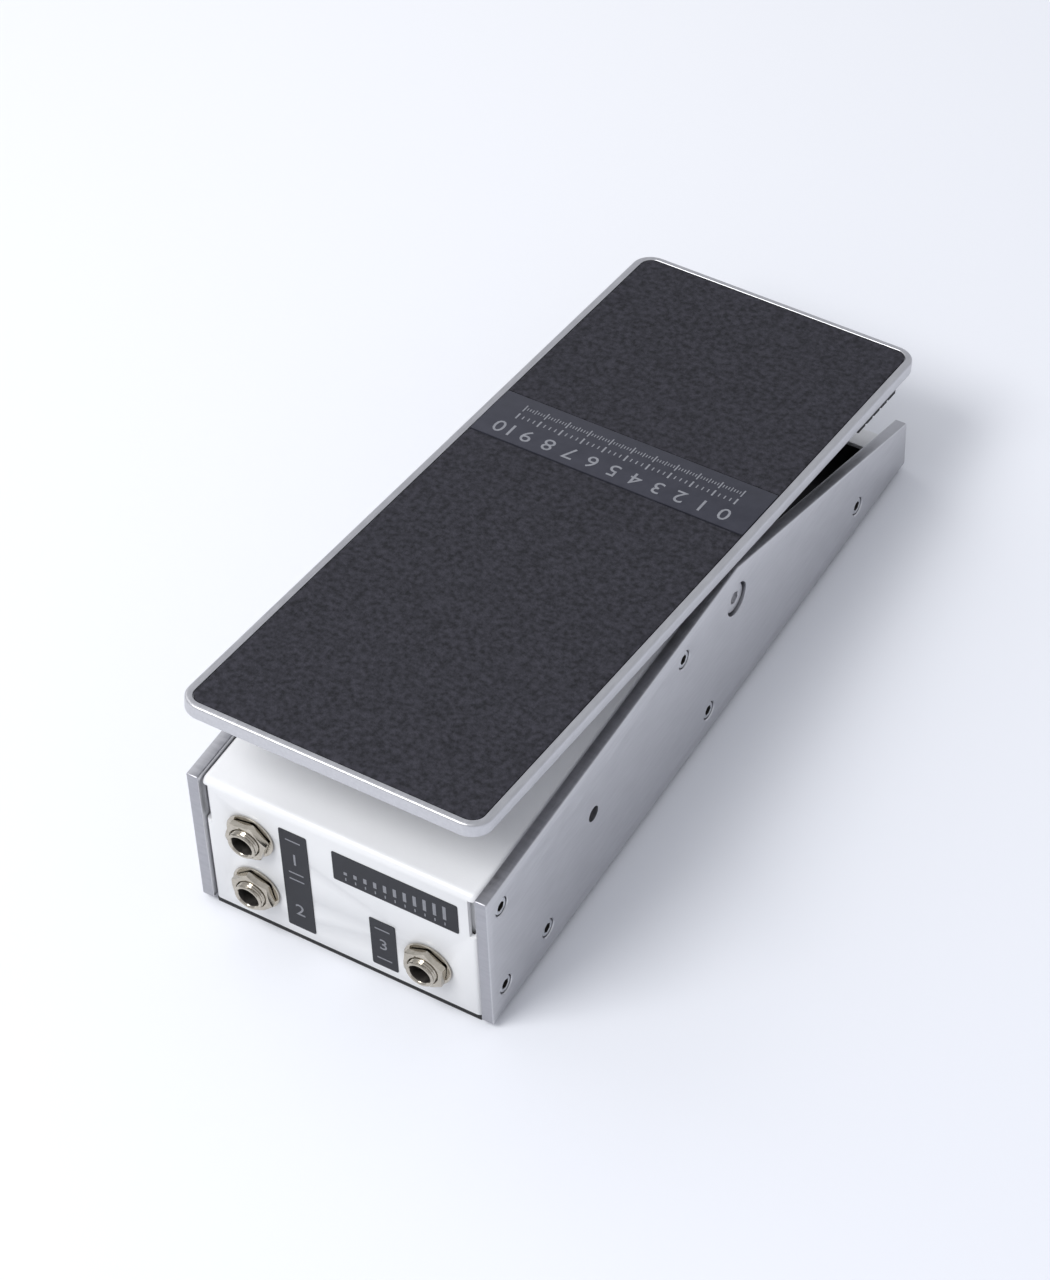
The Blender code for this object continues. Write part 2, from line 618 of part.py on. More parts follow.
def front_cover():
    front_edges = PANEL_SETBACK + PICK

    def outer_fold(middle):
        on_side = abs(middle.x) > COVER_HALF - BEYOND
        on_front = middle.y < front_edges
        on_top = middle.z > DECK_HEIGHT - PICK
        return (on_side and (on_front or on_top) and not (on_front and on_top)) or (on_front and on_top)

    def inner_fold(middle):
        on_side = abs(middle.x) > FLANGE_FACE - BEYOND
        on_front = middle.y < PANEL_BACK + PICK
        on_top = middle.z > DECK_HEIGHT - SHEET - PICK
        return (on_side and on_front) or (on_side and on_top) or (on_front and on_top)

    shell = box_mesh((-COVER_HALF, PANEL_SETBACK, PANEL_LOW), (COVER_HALF, DECK_END, DECK_HEIGHT),
                     outer_fold, FOLD_RADIUS)
    hollow = box_mesh((-FLANGE_FACE, PANEL_BACK, COVER_LOW - OPEN_SIDE),
                      (FLANGE_FACE, DECK_END + OPEN_SIDE, DECK_HEIGHT - SHEET),
                      inner_fold, FOLD_RADIUS - SHEET)
    cover = node("front_cover", shell, WHITE_PAINT)
    cut(cover, hollow)
    cut(cover, box_mesh((-CHASSIS_WIDTH / 2, PANEL_FLANGE_END, COVER_LOW - OPEN_SIDE),
                        (CHASSIS_WIDTH / 2, DECK_END + OPEN_SIDE, DECK_HEIGHT - DECK_FLANGE_DEPTH)))
    cut(cover, box_mesh((-CHASSIS_WIDTH / 2, PANEL_BACK, COVER_LOW - OPEN_SIDE),
                        (CHASSIS_WIDTH / 2, DECK_END + OPEN_SIDE, COVER_LOW)))
    for side in (-1, 1):
        low, high = sorted((side * (COVER_HALF - NOTCH_WIDTH), side * (COVER_HALF + BEYOND)))
        cut(cover, box_mesh((low, -BEYOND, NOTCH_LOW), (high, PANEL_SETBACK + FOLD_RADIUS, NOTCH_HIGH)))
    hole = rod_mesh(JACK_BUSHING_RADIUS + GAP, -PANEL_BACK - BEYOND, BEYOND)
    cut(cover, copies(hole, [at(x, 0, z) @ ALONG_MINUS_Y for name, x, z in JACKS]))
    flange_holes(cover, COVER_SCREWS)


def slope_height(y, drop):
    """Height at y of a line that lies the given drop, square to it, below the plates' heel slope."""
    return PLATE_PEAK_HEIGHT - (y - PLATE_PEAK_Y) * math.tan(SLOPE) - drop / math.cos(SLOPE)


def slope_place(z, drop):
    return PLATE_PEAK_Y + (PLATE_PEAK_HEIGHT - drop / math.cos(SLOPE) - z) / math.tan(SLOPE)


def rear_cover():
    outer = [(REAR_START, COVER_LOW), (REAR_END, COVER_LOW), (REAR_END, slope_height(REAR_END, REAR_DROP)),
             (slope_place(REAR_FLANGE_HEIGHT, REAR_DROP), REAR_FLANGE_HEIGHT),
             (REAR_START, REAR_FLANGE_HEIGHT)]
    start = REAR_START - OPEN_SIDE
    end = REAR_END - SHEET
    inner = [(start, COVER_LOW - OPEN_SIDE), (end, COVER_LOW - OPEN_SIDE),
             (end, slope_height(end, REAR_DROP + SHEET)),
             (start, slope_height(start, REAR_DROP + SHEET))]
    shell = moved(flat_mesh([outer], -COVER_HALF, COVER_HALF), ALONG_X)
    cover = node("rear_cover", shell, WHITE_PAINT)
    cut(cover, moved(flat_mesh([inner], -FLANGE_FACE, FLANGE_FACE), ALONG_X))
    cut(cover, box_mesh((-FLANGE_FACE, start, COVER_LOW - OPEN_SIDE),
                        (FLANGE_FACE, REAR_LIP_START, PLATE_FRONT_HEIGHT)))
    flange_holes(cover, REAR_SCREWS)


def base_plate():
    def lower_side(middle):
        return abs(middle.x) > FLANGE_FACE - BEYOND and middle.z < BASE_LOW + SHEET + PICK

    tray = box_mesh((-COVER_HALF, BASE_START, BASE_LOW), (COVER_HALF, BASE_END, BASE_FLANGE_HEIGHT),
                    lower_side, BASE_FOLD)
    base = node("base_plate", tray, DARK_STEEL)
    toe = BASE_START - OPEN_SIDE
    heel = BASE_END + OPEN_SIDE
    top = BASE_FLANGE_HEIGHT + OPEN_SIDE
    cut(base, box_mesh((-FLANGE_FACE, toe, BASE_LOW + SHEET), (FLANGE_FACE, heel, top)))
    for start, end in ((toe, BASE_FLANGE_START), (BASE_FLANGE_END, heel)):
        cut(base, box_mesh((-CHASSIS_WIDTH / 2, start, BASE_LOW + SHEET),
                           (CHASSIS_WIDTH / 2, end, top)))
    flange_holes(base, BASE_SCREWS)


def foot_strips():
    top = BASE_LOW - GAP
    width = 2 * (COVER_HALF - FOOT_SIDE_MARGIN)
    heel = PLATE_LENGTH - FOOT_MARGIN - FOOT_WIDTH
    for name, start in (("toe_foot_strip", FOOT_MARGIN), ("heel_foot_strip", heel)):
        outline = rounded_outline(width, start, start + FOOT_WIDTH, STRIP_CORNER, STRIP_CORNER)
        node(name, flat_mesh([outline], -FOOT_HEIGHT, top), RUBBER)


front_cover()
rear_cover()
base_plate()
foot_strips()


# Pivot

def pivot_parts():
    tap_radius = PIVOT_SHANK_RADIUS + GAP
    tap_end = CHASSIS_WIDTH / 2 - PIVOT_SHANK_LENGTH - PIVOT_HEAD_HEIGHT - HEAD_SINK - GAP
    shaft = [(0, tap_end), (tap_radius, tap_end), (tap_radius, COVER_HALF), (SHAFT_RADIUS, COVER_HALF),
             (SHAFT_RADIUS, -COVER_HALF), (tap_radius, -COVER_HALF), (tap_radius, -tap_end), (0, -tap_end)]
    place = at(0, PIVOT_Y, PIVOT_Z)
    node("pivot_shaft", moved(turned_mesh(shaft), place @ ALONG_X), ZINC_STEEL)
    seat = CHASSIS_WIDTH / 2 - HEAD_SINK - PIVOT_HEAD_HEIGHT
    screw = screw_mesh(PIVOT_HEAD_RADIUS, PIVOT_HEAD_HEIGHT, PIVOT_SHANK_RADIUS, PIVOT_SHANK_LENGTH,
                       PIVOT_HEX_RADIUS, PIVOT_HEX_DEPTH)
    screw = moved(screw, at(0, 0, seat))
    washer = rod_mesh(BUSH_FLANGE_RADIUS, WASHER_IN, WASHER_OUT, BORE_SIDES, BUSH_BORE)
    for side_name, side in (("left", -1), ("right", 1)):
        node(side_name + "_pivot_screw", copies(screw, [place @ side_axis(side)]), ALUMINIUM)
        node(side_name + "_thrust_washer", copies(washer, [place @ side_axis(side)]), NYLON)


pivot_parts()


# Treadle

def treadle_plate():
    outline = rounded_outline(TREADLE_WIDTH, TREADLE_TOE, TREADLE_HEEL, TREADLE_CORNER, TREADLE_CORNER)
    slab = flat_mesh([outline], TREADLE_UNDER, TREADLE_TOP)
    plate = node("treadle_plate", slab, ALUMINIUM, treadle_pivot, TREADLE_EDGE)
    recess = rounded_outline(pad_width() + 2 * GAP, pad_start() - GAP, pad_end() + GAP,
                             PAD_CORNER + GAP, PAD_CORNER + GAP)
    cut(plate, flat_mesh([recess], TREADLE_TOP - PAD_RECESS, TREADLE_TOP + BEYOND))
    hole = rod_mesh(SHANK_RADIUS + HOLE_ROUND, TREADLE_UNDER - BEYOND,
                    TREADLE_UNDER + YOKE_SCREW_DEPTH + GAP, SMALL_SIDES)
    cut(plate, copies(hole, [at(side * YOKE_SCREW_X, 0, 0) for side in (-1, 1)]))


def pad_width():
    return TREADLE_WIDTH - 2 * PAD_MARGIN - 2 * GAP


def pad_start():
    return TREADLE_TOE + PAD_MARGIN


def pad_end():
    return TREADLE_HEEL - PAD_MARGIN


def pads():
    low = TREADLE_TOP - PAD_RECESS + GAP
    high = low + PAD_THICKNESS
    toe_end = pad_start() + TOE_PAD_LENGTH
    strip_start = toe_end + PAD_SEAM
    strip_end = strip_start + STRIP_LENGTH
    stretches = [
        ("toe_grip_pad", pad_start(), toe_end, PAD_CORNER, 0, GRIT),
        ("centre_strip", strip_start, strip_end, 0, 0, SMOOTH_STRIP),
        ("heel_grip_pad", strip_end + PAD_SEAM, pad_end(), 0, PAD_CORNER, GRIT),
    ]
    for name, start, end, toe_radius, heel_radius, look in stretches:
        outline = rounded_outline(pad_width(), start, end, toe_radius, heel_radius)
        node(name, flat_mesh([outline], low, high), look, treadle_pivot)


def yoke_section():
    """The folded yoke's section in (x, n): two ears and the web between them."""
    top = TREADLE_UNDER - GAP
    inner = YOKE_FOLD - EAR_THICKNESS
    outline = []
    for side in (1, -1):
        start = 0 if side > 0 else HALF_TURN
        outer_arc = arc((side * (EAR_OUT - YOKE_FOLD), top - YOKE_FOLD), YOKE_FOLD,
                        start, QUARTER_TURN, FOLD_STEPS)
        inner_arc = arc((side * (EAR_IN - inner), top - EAR_THICKNESS - inner), inner,
                        start, QUARTER_TURN, INNER_STEPS)
        ear = [(side * EAR_IN, -EAR_RADIUS), (side * EAR_OUT, -EAR_RADIUS)]
        half = list(reversed(inner_arc)) + ear + outer_arc
        outline += half if side > 0 else list(reversed(half))
    return outline


def treadle_yoke():
    """One folded sheet under the treadle: a web and an ear round the pivot at each side."""
    top = TREADLE_UNDER - GAP
    low = top - EAR_THICKNESS
    half = YOKE_LENGTH / 2
    reach = EAR_OUT + BEYOND
    strip = moved(flat_mesh([yoke_section()], -half, half), ALONG_MINUS_Y)
    ear = arc((0, 0), EAR_RADIUS, HALF_TURN + EAR_DROOP, 2 * HALF_TURN - EAR_DROOP, EAR_STEPS)
    ear += [(half, low), (half, top + BEYOND), (-half, top + BEYOND), (-half, low)]
    yoke = carved(strip, moved(flat_mesh([ear], -reach, reach), ALONG_X), "INTERSECT")
    hole = rod_mesh(SHANK_RADIUS + HOLE_ROUND, low - BEYOND, top + BEYOND, SMALL_SIDES)
    small = rod_mesh(SMALL_SHANK_RADIUS + GAP, EAR_IN - BEYOND, reach, SHANK_SIDES)
    tools = [moved(rod_mesh(EAR_HOLE, -reach, reach), ALONG_X)]
    tools += [copies(hole, [at(side * YOKE_SCREW_X, 0, 0) for side in (-1, 1)])]
    tools += [copies(small, [at(0, t, n) @ ALONG_X for t, n in sector_screw_places()])]
    for tool in tools:
        yoke = carved(yoke, tool)
    node("treadle_yoke", yoke, ZINC_STEEL, treadle_pivot)
    seat = low - GAP
    length = TREADLE_UNDER + YOKE_SCREW_DEPTH - seat
    screw = screw_mesh(HEAD_RADIUS, HEAD_HEIGHT, SHANK_RADIUS, length, HEX_RADIUS, HEX_DEPTH)
    for side_name, side in (("left", -1), ("right", 1)):
        place = at(side * YOKE_SCREW_X, 0, seat) @ ALONG_MINUS_Z
        node(side_name + "_yoke_screw", copies(screw, [place]), BLACK_SCREW, treadle_pivot)


def bush(name, side, reach):
    """A flanged bush: its flange outside the ear, its sleeve through the ear to reach."""
    flange = BUSH_OUT - BUSH_FLANGE_THICKNESS
    profile = [(BUSH_BORE, BUSH_OUT), (BUSH_FLANGE_RADIUS, BUSH_OUT), (BUSH_FLANGE_RADIUS, flange),
               (BUSH_RADIUS, flange), (BUSH_RADIUS, reach), (BUSH_BORE, reach)]
    node(name, moved(turned_mesh(profile, closed=True), side_axis(side)), NYLON, treadle_pivot)


def heel_bumper():
    half = COVER_HALF - GAP
    top = TREADLE_UNDER - GAP
    block = box_mesh((-half, HEEL_BUMPER_START, top - HEEL_BUMPER_THICKNESS),
                     (half, HEEL_BUMPER_START + HEEL_BUMPER_LENGTH, top))
    node("heel_bumper", block, RUBBER, treadle_pivot, BUMPER_ROUND, 2)


def toe_bumper():
    top = TREADLE_UNDER - GAP
    width = TREADLE_WIDTH - 2 * TOE_BUMPER_MARGIN
    outline = rounded_outline(width, TOE_BUMPER_START, TOE_BUMPER_START + TOE_BUMPER_LENGTH,
                              STRIP_CORNER, STRIP_CORNER)
    node("toe_bumper", flat_mesh([outline], top - TOE_BUMPER_THICKNESS, top), RUBBER, treadle_pivot)


# Gears

def flank(teeth, radius):
    """Half a tooth's angle at a radius, for an involute tooth thinned by the running clearance."""
    pitch_radius = MODULE * teeth / 2
    base_radius = pitch_radius * math.cos(PRESSURE_ANGLE)
    angle = math.acos(min(1.0, base_radius / radius))
    opening = math.tan(angle) - angle
    at_pitch = math.tan(PRESSURE_ANGLE) - PRESSURE_ANGLE
    return math.pi / (2 * teeth) - TOOTH_THINNING / (2 * pitch_radius) + at_pitch - opening


def tooth(teeth, centre, addendum, dedendum):
    """(angle, radius) points up one flank, over the tip and down the other."""
    pitch_radius = MODULE * teeth / 2
    root = pitch_radius - dedendum
    base = max(root, pitch_radius * math.cos(PRESSURE_ANGLE))
    tip = pitch_radius + addendum
    radii = [base + (tip - base) * i / FLANK_STEPS for i in range(FLANK_STEPS + 1)]
    if root < base:
        radii = [root] + radii
    rising = [(centre - flank(teeth, max(radius, base)), radius) for radius in radii]
    falling = [(2 * centre - angle, radius) for angle, radius in reversed(rising)]
    return rising + falling


def polar(points):
    return [(radius * math.cos(angle), radius * math.sin(angle)) for angle, radius in points]


def pinion():
    addendum = PINION_TIP * MODULE
    dedendum = MODULE + ROOT_CLEARANCE
    facing = MESH_ANGLE + HALF_TURN
    points = []
    for i in range(PINION_TEETH):
        points += tooth(PINION_TEETH, facing + i * 2 * HALF_TURN / PINION_TEETH, addendum, dedendum)
    wheel = flat_mesh([polar(points)], PINION_IN, PINION_OUT)
    hub = rod_mesh(PINION_HUB_RADIUS, PINION_IN - PINION_HUB_LENGTH, PINION_IN + GAP)
    body = carved(moved(wheel, ALONG_X), moved(hub, ALONG_X), "UNION")
    bore = rod_mesh(POT_SHAFT_RADIUS + GAP / 2, PINION_IN - PINION_HUB_LENGTH - BEYOND, PINION_OUT + BEYOND)
    node("pinion", carved(body, moved(bore, ALONG_X)), BRASS, pot_axis)


def sector_centre():
    return MESH_ANGLE + REST_TILT


def sector_screw_places():
    return polar([(sector_centre() + angle, SECTOR_SCREW_OFFSET) for angle in SECTOR_SCREW_ANGLES])


def sector_gear():
    pitch = 2 * HALF_TURN / SECTOR_TEETH
    middle = sector_centre()
    points = []
    for i in range(SECTOR_CUT_TEETH):
        centre = middle + (i - (SECTOR_CUT_TEETH - 1) / 2) * pitch
        points += tooth(SECTOR_TEETH, centre, SECTOR_TIP * MODULE, MODULE + ROOT_CLEARANCE)
    hub_start = middle + SECTOR_HUB_START
    hub_end = middle + 2 * HALF_TURN - SECTOR_HUB_START
    hub = arc((0, 0), EAR_RADIUS, hub_start, hub_end, SECTOR_HUB_STEPS)
    outline = polar(points) + [(x, min(y, SECTOR_HUB_TOP)) for x, y in hub]
    gear = moved(flat_mesh([outline], SECTOR_IN, SECTOR_OUT), ALONG_X)
    tools = [moved(rod_mesh(EAR_HOLE, SECTOR_IN - BEYOND, SECTOR_OUT + BEYOND), ALONG_X)]
    window = rod_mesh(SECTOR_HOLE_RADIUS, SECTOR_IN - BEYOND, SECTOR_OUT + BEYOND)
    t, n = polar([(middle, SECTOR_HOLE_OFFSET)])[0]
    tools += [moved(window, at(0, t, n) @ ALONG_X)]
    small = rod_mesh(SMALL_SHANK_RADIUS + GAP, SECTOR_IN - BEYOND, SECTOR_OUT + BEYOND, SHANK_SIDES)
    tools += [copies(small, [at(0, t, n) @ ALONG_X for t, n in sector_screw_places()])]
    for tool in tools:
        gear = carved(gear, tool)
    node("sector_gear", gear, ALUMINIUM, treadle_pivot)


def sector_screws():
    seat = SECTOR_IN - GAP
    screw = screw_mesh(SMALL_HEAD_RADIUS, HEAD_HEIGHT, SMALL_SHANK_RADIUS, EAR_OUT - seat)
    for number, (t, n) in enumerate(sector_screw_places(), 1):
        place = at(seat, t, n) @ ALONG_MINUS_X
        node(f"sector_screw_{number}", copies(screw, [place]), BLACK_SCREW, treadle_pivot)


treadle_plate()
pads()
treadle_yoke()
bush("left_bush", -1, EAR_IN - GAP)
bush("right_bush", 1, SECTOR_IN)
heel_bumper()
toe_bumper()
sector_gear()
sector_screws()
pinion()


# Potentiometer

def foot_bracket(name, face, half, top, reach, y):
    """A folded bracket on the base plate: an upright leg across X and a foot towards -X."""
    low = BASE_LOW + SHEET + GAP
    section = fold_outline(face, face - BRACKET_SHEET, low, top, reach, BRACKET_SHEET, 2 * BRACKET_SHEET)
    return node(name, moved(flat_mesh([section], -half, half), at(0, y, 0) @ ALONG_MINUS_Y), ZINC_STEEL)


def potentiometer():
    face = POT_BRACKET_X + BRACKET_SHEET
    bracket = foot_bracket("pot_bracket", face, POT_BRACKET_HALF, POT_BRACKET_TOP, POT_FOOT_REACH, POT_Y)
    hole = rod_mesh(POT_BUSHING_RADIUS + GAP, POT_BRACKET_X - BEYOND, face + BEYOND)
    cut(bracket, moved(hole, at(0, POT_Y, POT_Z) @ ALONG_X))
    bore = POT_SHAFT_RADIUS + GAP
    tip = POT_FACE_X + POT_BUSHING_LENGTH
    back = POT_FACE_X - POT_DEPTH
    profile = [(0, POT_FACE_X - POT_SOCKET_DEPTH), (bore, POT_FACE_X - POT_SOCKET_DEPTH), (bore, tip),
               (POT_BUSHING_RADIUS, tip), (POT_BUSHING_RADIUS, POT_FACE_X),
               (POT_RADIUS - POT_CHAMFER, POT_FACE_X), (POT_RADIUS, POT_FACE_X - POT_CHAMFER),
               (POT_RADIUS, back + POT_CHAMFER), (POT_RADIUS - POT_CHAMFER, back), (0, back)]
    place = at(0, POT_Y, POT_Z) @ ALONG_X
    body = moved(turned_mesh(profile), place)
    half = LUG_WIDTH / 2
    for x, y, z in pot_lug_ends():
        lug = box_mesh((x, y, z - half), (x + LUG_THICKNESS, POT_Y - POT_RADIUS / 2, z + half))
        body = carved(body, lug, "UNION")
    node("pot_body", body, ZINC_STEEL)
    nut = nut_mesh(POT_NUT_RADIUS, POT_BUSHING_RADIUS + GAP, face + GAP, face + GAP + POT_NUT_THICKNESS)
    node("pot_nut", moved(nut, place), NICKEL)
    shaft = rod_mesh(POT_SHAFT_RADIUS, POT_FACE_X - POT_SOCKET_DEPTH + GAP, PINION_OUT + BEYOND)
    node("pot_shaft", moved(shaft, ALONG_X), ALUMINIUM, pot_axis)


def pot_lug_ends():
    """(x, y, z) of each solder lug's free end."""
    x = POT_FACE_X - POT_DEPTH + 3 * LUG_THICKNESS
    return [(x, POT_Y - POT_RADIUS - LUG_LENGTH, POT_Z + i * POT_LUG_PITCH) for i in (-1, 0, 1)]


potentiometer()


# Trimmer behind the access hole

def trimmer():
    back = TRIMMER_FACE_X - TRIMMER_DEPTH
    foot_bracket("trimmer_bracket", back - GAP, TRIMMER_BRACKET_HALF, TRIMMER_BRACKET_TOP,
                 TRIMMER_FOOT_REACH, TRIMMER_Y)
    half = TRIMMER_SIZE / 2
    body = box_mesh((back, TRIMMER_Y - half, TRIMMER_Z - half),
                    (TRIMMER_FACE_X, TRIMMER_Y + half, TRIMMER_Z + half))
    lug_half = TRIMMER_LUG_WIDTH / 2
    for x, y, z in trimmer_lug_ends():
        lug = box_mesh((x, y - lug_half, z), (x + LUG_THICKNESS, y + lug_half, TRIMMER_Z - half + BEYOND))
        body = carved(body, lug, "UNION")
    seat = TRIMMER_FACE_X - ROTOR_DEPTH
    recess = rod_mesh(ROTOR_RADIUS + GAP, seat, TRIMMER_FACE_X + BEYOND)
    cut(node("trimmer_body", body, BLUE_PLASTIC), moved(recess, at(0, TRIMMER_Y, TRIMMER_Z) @ ALONG_X))
    top = TRIMMER_FACE_X + ROTOR_PROUD
    rotor = moved(rod_mesh(ROTOR_RADIUS, seat + GAP, top), ALONG_X)
    slot = box_mesh((top - SLOT_DEPTH, -ROTOR_RADIUS - BEYOND, -SLOT_WIDTH / 2),
                    (top + BEYOND, ROTOR_RADIUS + BEYOND, SLOT_WIDTH / 2))
    cut(node("trimmer_rotor", rotor, BLACK_PLASTIC, trimmer_axis), slot)


def trimmer_lug_ends():
    x = TRIMMER_FACE_X - TRIMMER_DEPTH / 2
    z = TRIMMER_Z - TRIMMER_SIZE / 2 - TRIMMER_LUG_LENGTH
    return [(x, TRIMMER_Y + i * TRIMMER_LUG_PITCH, z) for i in (-1, 0, 1)]


trimmer()


# Jacks

def jack_body_start():
    return PANEL_BACK + GAP + JACK_FLANGE_THICKNESS + GAP


def jack(name, x, z):
    place = at(x, 0, z) @ ALONG_MINUS_Y
    flange_front = -(PANEL_BACK + GAP)
    flange_back = flange_front - JACK_FLANGE_THICKNESS
    tip = -JACK_BUSHING_TIP
    edge = JACK_BUSHING_CHAMFER
    profile = [(SOCKET_RADIUS, tip - edge), (SOCKET_RADIUS + edge, tip), (JACK_BUSHING_RADIUS - edge, tip),
               (JACK_BUSHING_RADIUS, tip - edge), (JACK_BUSHING_RADIUS, flange_front),
               (JACK_FLANGE_RADIUS, flange_front), (JACK_FLANGE_RADIUS, flange_back),
               (SOCKET_RADIUS, flange_back)]
    node(name + "_jack_bushing", moved(turned_mesh(profile, closed=True), place), NICKEL)
    start = jack_body_start()
    end = start + JACK_BODY_DEPTH
    body = box_mesh((x - JACK_BODY_WIDTH / 2, start, z - JACK_BODY_HEIGHT / 2),
                    (x + JACK_BODY_WIDTH / 2, end, z + JACK_BODY_HEIGHT / 2))
    half = JACK_CHAMBER / 2
    chamber = box_mesh((x - half, start - BEYOND, z - half), (x + half, end - JACK_BACK_WALL, z + half))
    body = carved(body, chamber)
    for lug in (-1, 0, 1):
        lug_x, lug_y, lug_z = jack_lug_end(x, z, lug)
        strip = box_mesh((lug_x - JACK_LUG_WIDTH / 2, end - BEYOND, lug_z),
                         (lug_x + JACK_LUG_WIDTH / 2, lug_y, lug_z + LUG_THICKNESS))
        body = carved(body, strip, "UNION")
    node(name + "_jack_body", body, BLACK_PLASTIC)


def jack_lug_end(x, z, lug):
    """(x, y, z) of a jack's solder lug end; lug is -1, 0 or 1."""
    return (x + lug * JACK_LUG_PITCH, jack_body_start() + JACK_BODY_DEPTH + JACK_LUG_LENGTH, z)


def jack_hardware(name, x, z):
    socket = at(x, 0, z) @ ALONG_MINUS_Y
    washer_low = -PANEL_SETBACK + GAP
    washer_high = washer_low + WASHER_THICKNESS
    bore = JACK_BUSHING_RADIUS + GAP
    washer = rod_mesh(JACK_WASHER_RADIUS, washer_low, washer_high, BORE_SIDES, bore)
    node(name + "_jack_washer", moved(washer, socket), NICKEL)
    nut_low = washer_high + GAP
    nut = nut_mesh(JACK_NUT_RADIUS, bore, nut_low, nut_low + JACK_NUT_THICKNESS)
    node(name + "_jack_nut", moved(nut, socket), NICKEL)


for jack_name, jack_x, jack_z in JACKS:
    jack(jack_name, jack_x, jack_z)
    jack_hardware(jack_name, jack_x, jack_z)


# Leads

def smooth_route(points, steps=4):
    """A curve through all the points, each span eased by its neighbours."""
    places = [Vector(point) for point in points]
    padded = [2 * places[0] - places[1]] + places + [2 * places[-1] - places[-2]]
    route = []
    for before, start, end, after in zip(padded, padded[1:], padded[2:], padded[3:]):
        for i in range(steps):
            u = i / steps
            bend = (2 * before - 5 * start + 4 * end - after) * u ** 2
            twist = (3 * start - before - 3 * end + after) * u ** 3
            route.append(0.5 * (2 * start + (end - before) * u + bend + twist))
    route.append(places[-1])
    return route


def past_lug(end, direction):
    """Two points that leave a lug straight: just past its end and one a little further on."""
    centre = Vector(end) + Vector((LUG_THICKNESS / 2, 0, 0))
    return [centre + direction * GAP, centre + direction * LEAD_STRAIGHT]


def into_jack(index):
    """The last two points of a lead that meets a jack's middle lug."""
    name, x, z = JACKS[index]
    centre = Vector(jack_lug_end(x, z, 0)) + Vector((0, 0, LUG_THICKNESS / 2))
    return [centre + Vector((0, LEAD_STRAIGHT, 0)), centre + Vector((0, GAP, 0))]


def lead(name, points, look):
    node(name, tube_mesh(smooth_route(points), LEAD_RADIUS), look)


pot_lead_route = [
    (POT_FACE_X - 15.7 * MM, 50 * MM, 14 * MM),
    (-6 * MM, 42 * MM, 9 * MM),
    (JACKS[1][1] + 8.5 * MM, 45 * MM, 11 * MM),
]
trimmer_lead_route = [
    (TRIMMER_FACE_X - 2.5 * MM, 50 * MM, 10 * MM),
    (JACKS[2][1] + 4 * MM, 46 * MM, 12 * MM),
]

pot_lug = pot_lug_ends()[1]
trimmer_lug = trimmer_lug_ends()[1]
pot_start = past_lug(pot_lug, Vector((0, -1, 0)))
trimmer_start = past_lug(trimmer_lug, Vector((0, 0, -1)))
lead("pot_lead", pot_start + pot_lead_route + into_jack(1), GREY_WIRE)
lead("trimmer_lead", trimmer_start + trimmer_lead_route + into_jack(2), RED_WIRE)
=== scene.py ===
"""Looks of a foot-operated volume pedal: its finishes, plates, fasteners, jacks, pads and labels.

Two sets of coordinates, both in millimetres, place every piece:
chassis (x, y, z): x across from the centre plane, y from the side plates' toe-end edge towards the
heel, z up from their lower edge; treadle (x, t, n): t along the treadle towards the heel and n
square to it, both from the pivot axis.
"""
import json
import math

import bmesh
import bpy
from mathutils import Matrix, Vector, noise


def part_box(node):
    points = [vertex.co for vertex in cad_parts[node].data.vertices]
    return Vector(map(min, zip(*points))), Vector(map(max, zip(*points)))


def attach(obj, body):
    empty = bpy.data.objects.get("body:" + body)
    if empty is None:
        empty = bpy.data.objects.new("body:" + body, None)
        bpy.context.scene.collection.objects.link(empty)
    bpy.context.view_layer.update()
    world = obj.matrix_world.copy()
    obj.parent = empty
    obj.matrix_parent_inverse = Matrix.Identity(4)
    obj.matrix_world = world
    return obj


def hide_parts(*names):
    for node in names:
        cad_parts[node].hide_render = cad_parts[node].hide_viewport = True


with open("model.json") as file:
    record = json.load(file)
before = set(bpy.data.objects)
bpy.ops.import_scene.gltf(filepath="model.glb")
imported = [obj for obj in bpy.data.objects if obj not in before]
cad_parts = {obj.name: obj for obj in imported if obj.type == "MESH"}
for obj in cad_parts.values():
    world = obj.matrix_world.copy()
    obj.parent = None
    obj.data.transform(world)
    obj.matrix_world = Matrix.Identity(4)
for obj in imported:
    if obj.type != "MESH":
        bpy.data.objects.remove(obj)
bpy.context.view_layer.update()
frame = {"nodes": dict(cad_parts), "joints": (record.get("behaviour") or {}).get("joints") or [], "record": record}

MM = 0.001
DEG = math.pi / 180
QUARTER_TURN = 90 * DEG
GAP = 0.3                       # clearance between neighbouring pieces
BEYOND = 1.0                    # how far a cutting shape runs past what it cuts
SHARP = 35 * DEG                # edges sharper than this are not shaded smooth
ROUND_SIDES = 48
SMALL_SIDES = 32
PICK = 0.1                      # how near a plane or an axis something counts as on it
OPEN_SIDE = 10                  # how far a hollow runs out of a folded sheet's open side
CUT_TOP = 60                    # above everything that a cut has to clear

# Where the two sets of coordinates lie in the frame
REST_TILT = 9.49 * DEG
plate_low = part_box("right_side_plate")[0]
joints = {joint["name"]: joint for joint in frame["joints"]}
CHASSIS = Matrix.Translation((0, plate_low.y, plate_low.z)) @ Matrix.Scale(MM, 4)
TREADLE = (Matrix.Translation(joints["treadle_tilt"]["pos_m"]) @ Matrix.Rotation(-REST_TILT, 4, "X")
           @ Matrix.Scale(MM, 4))

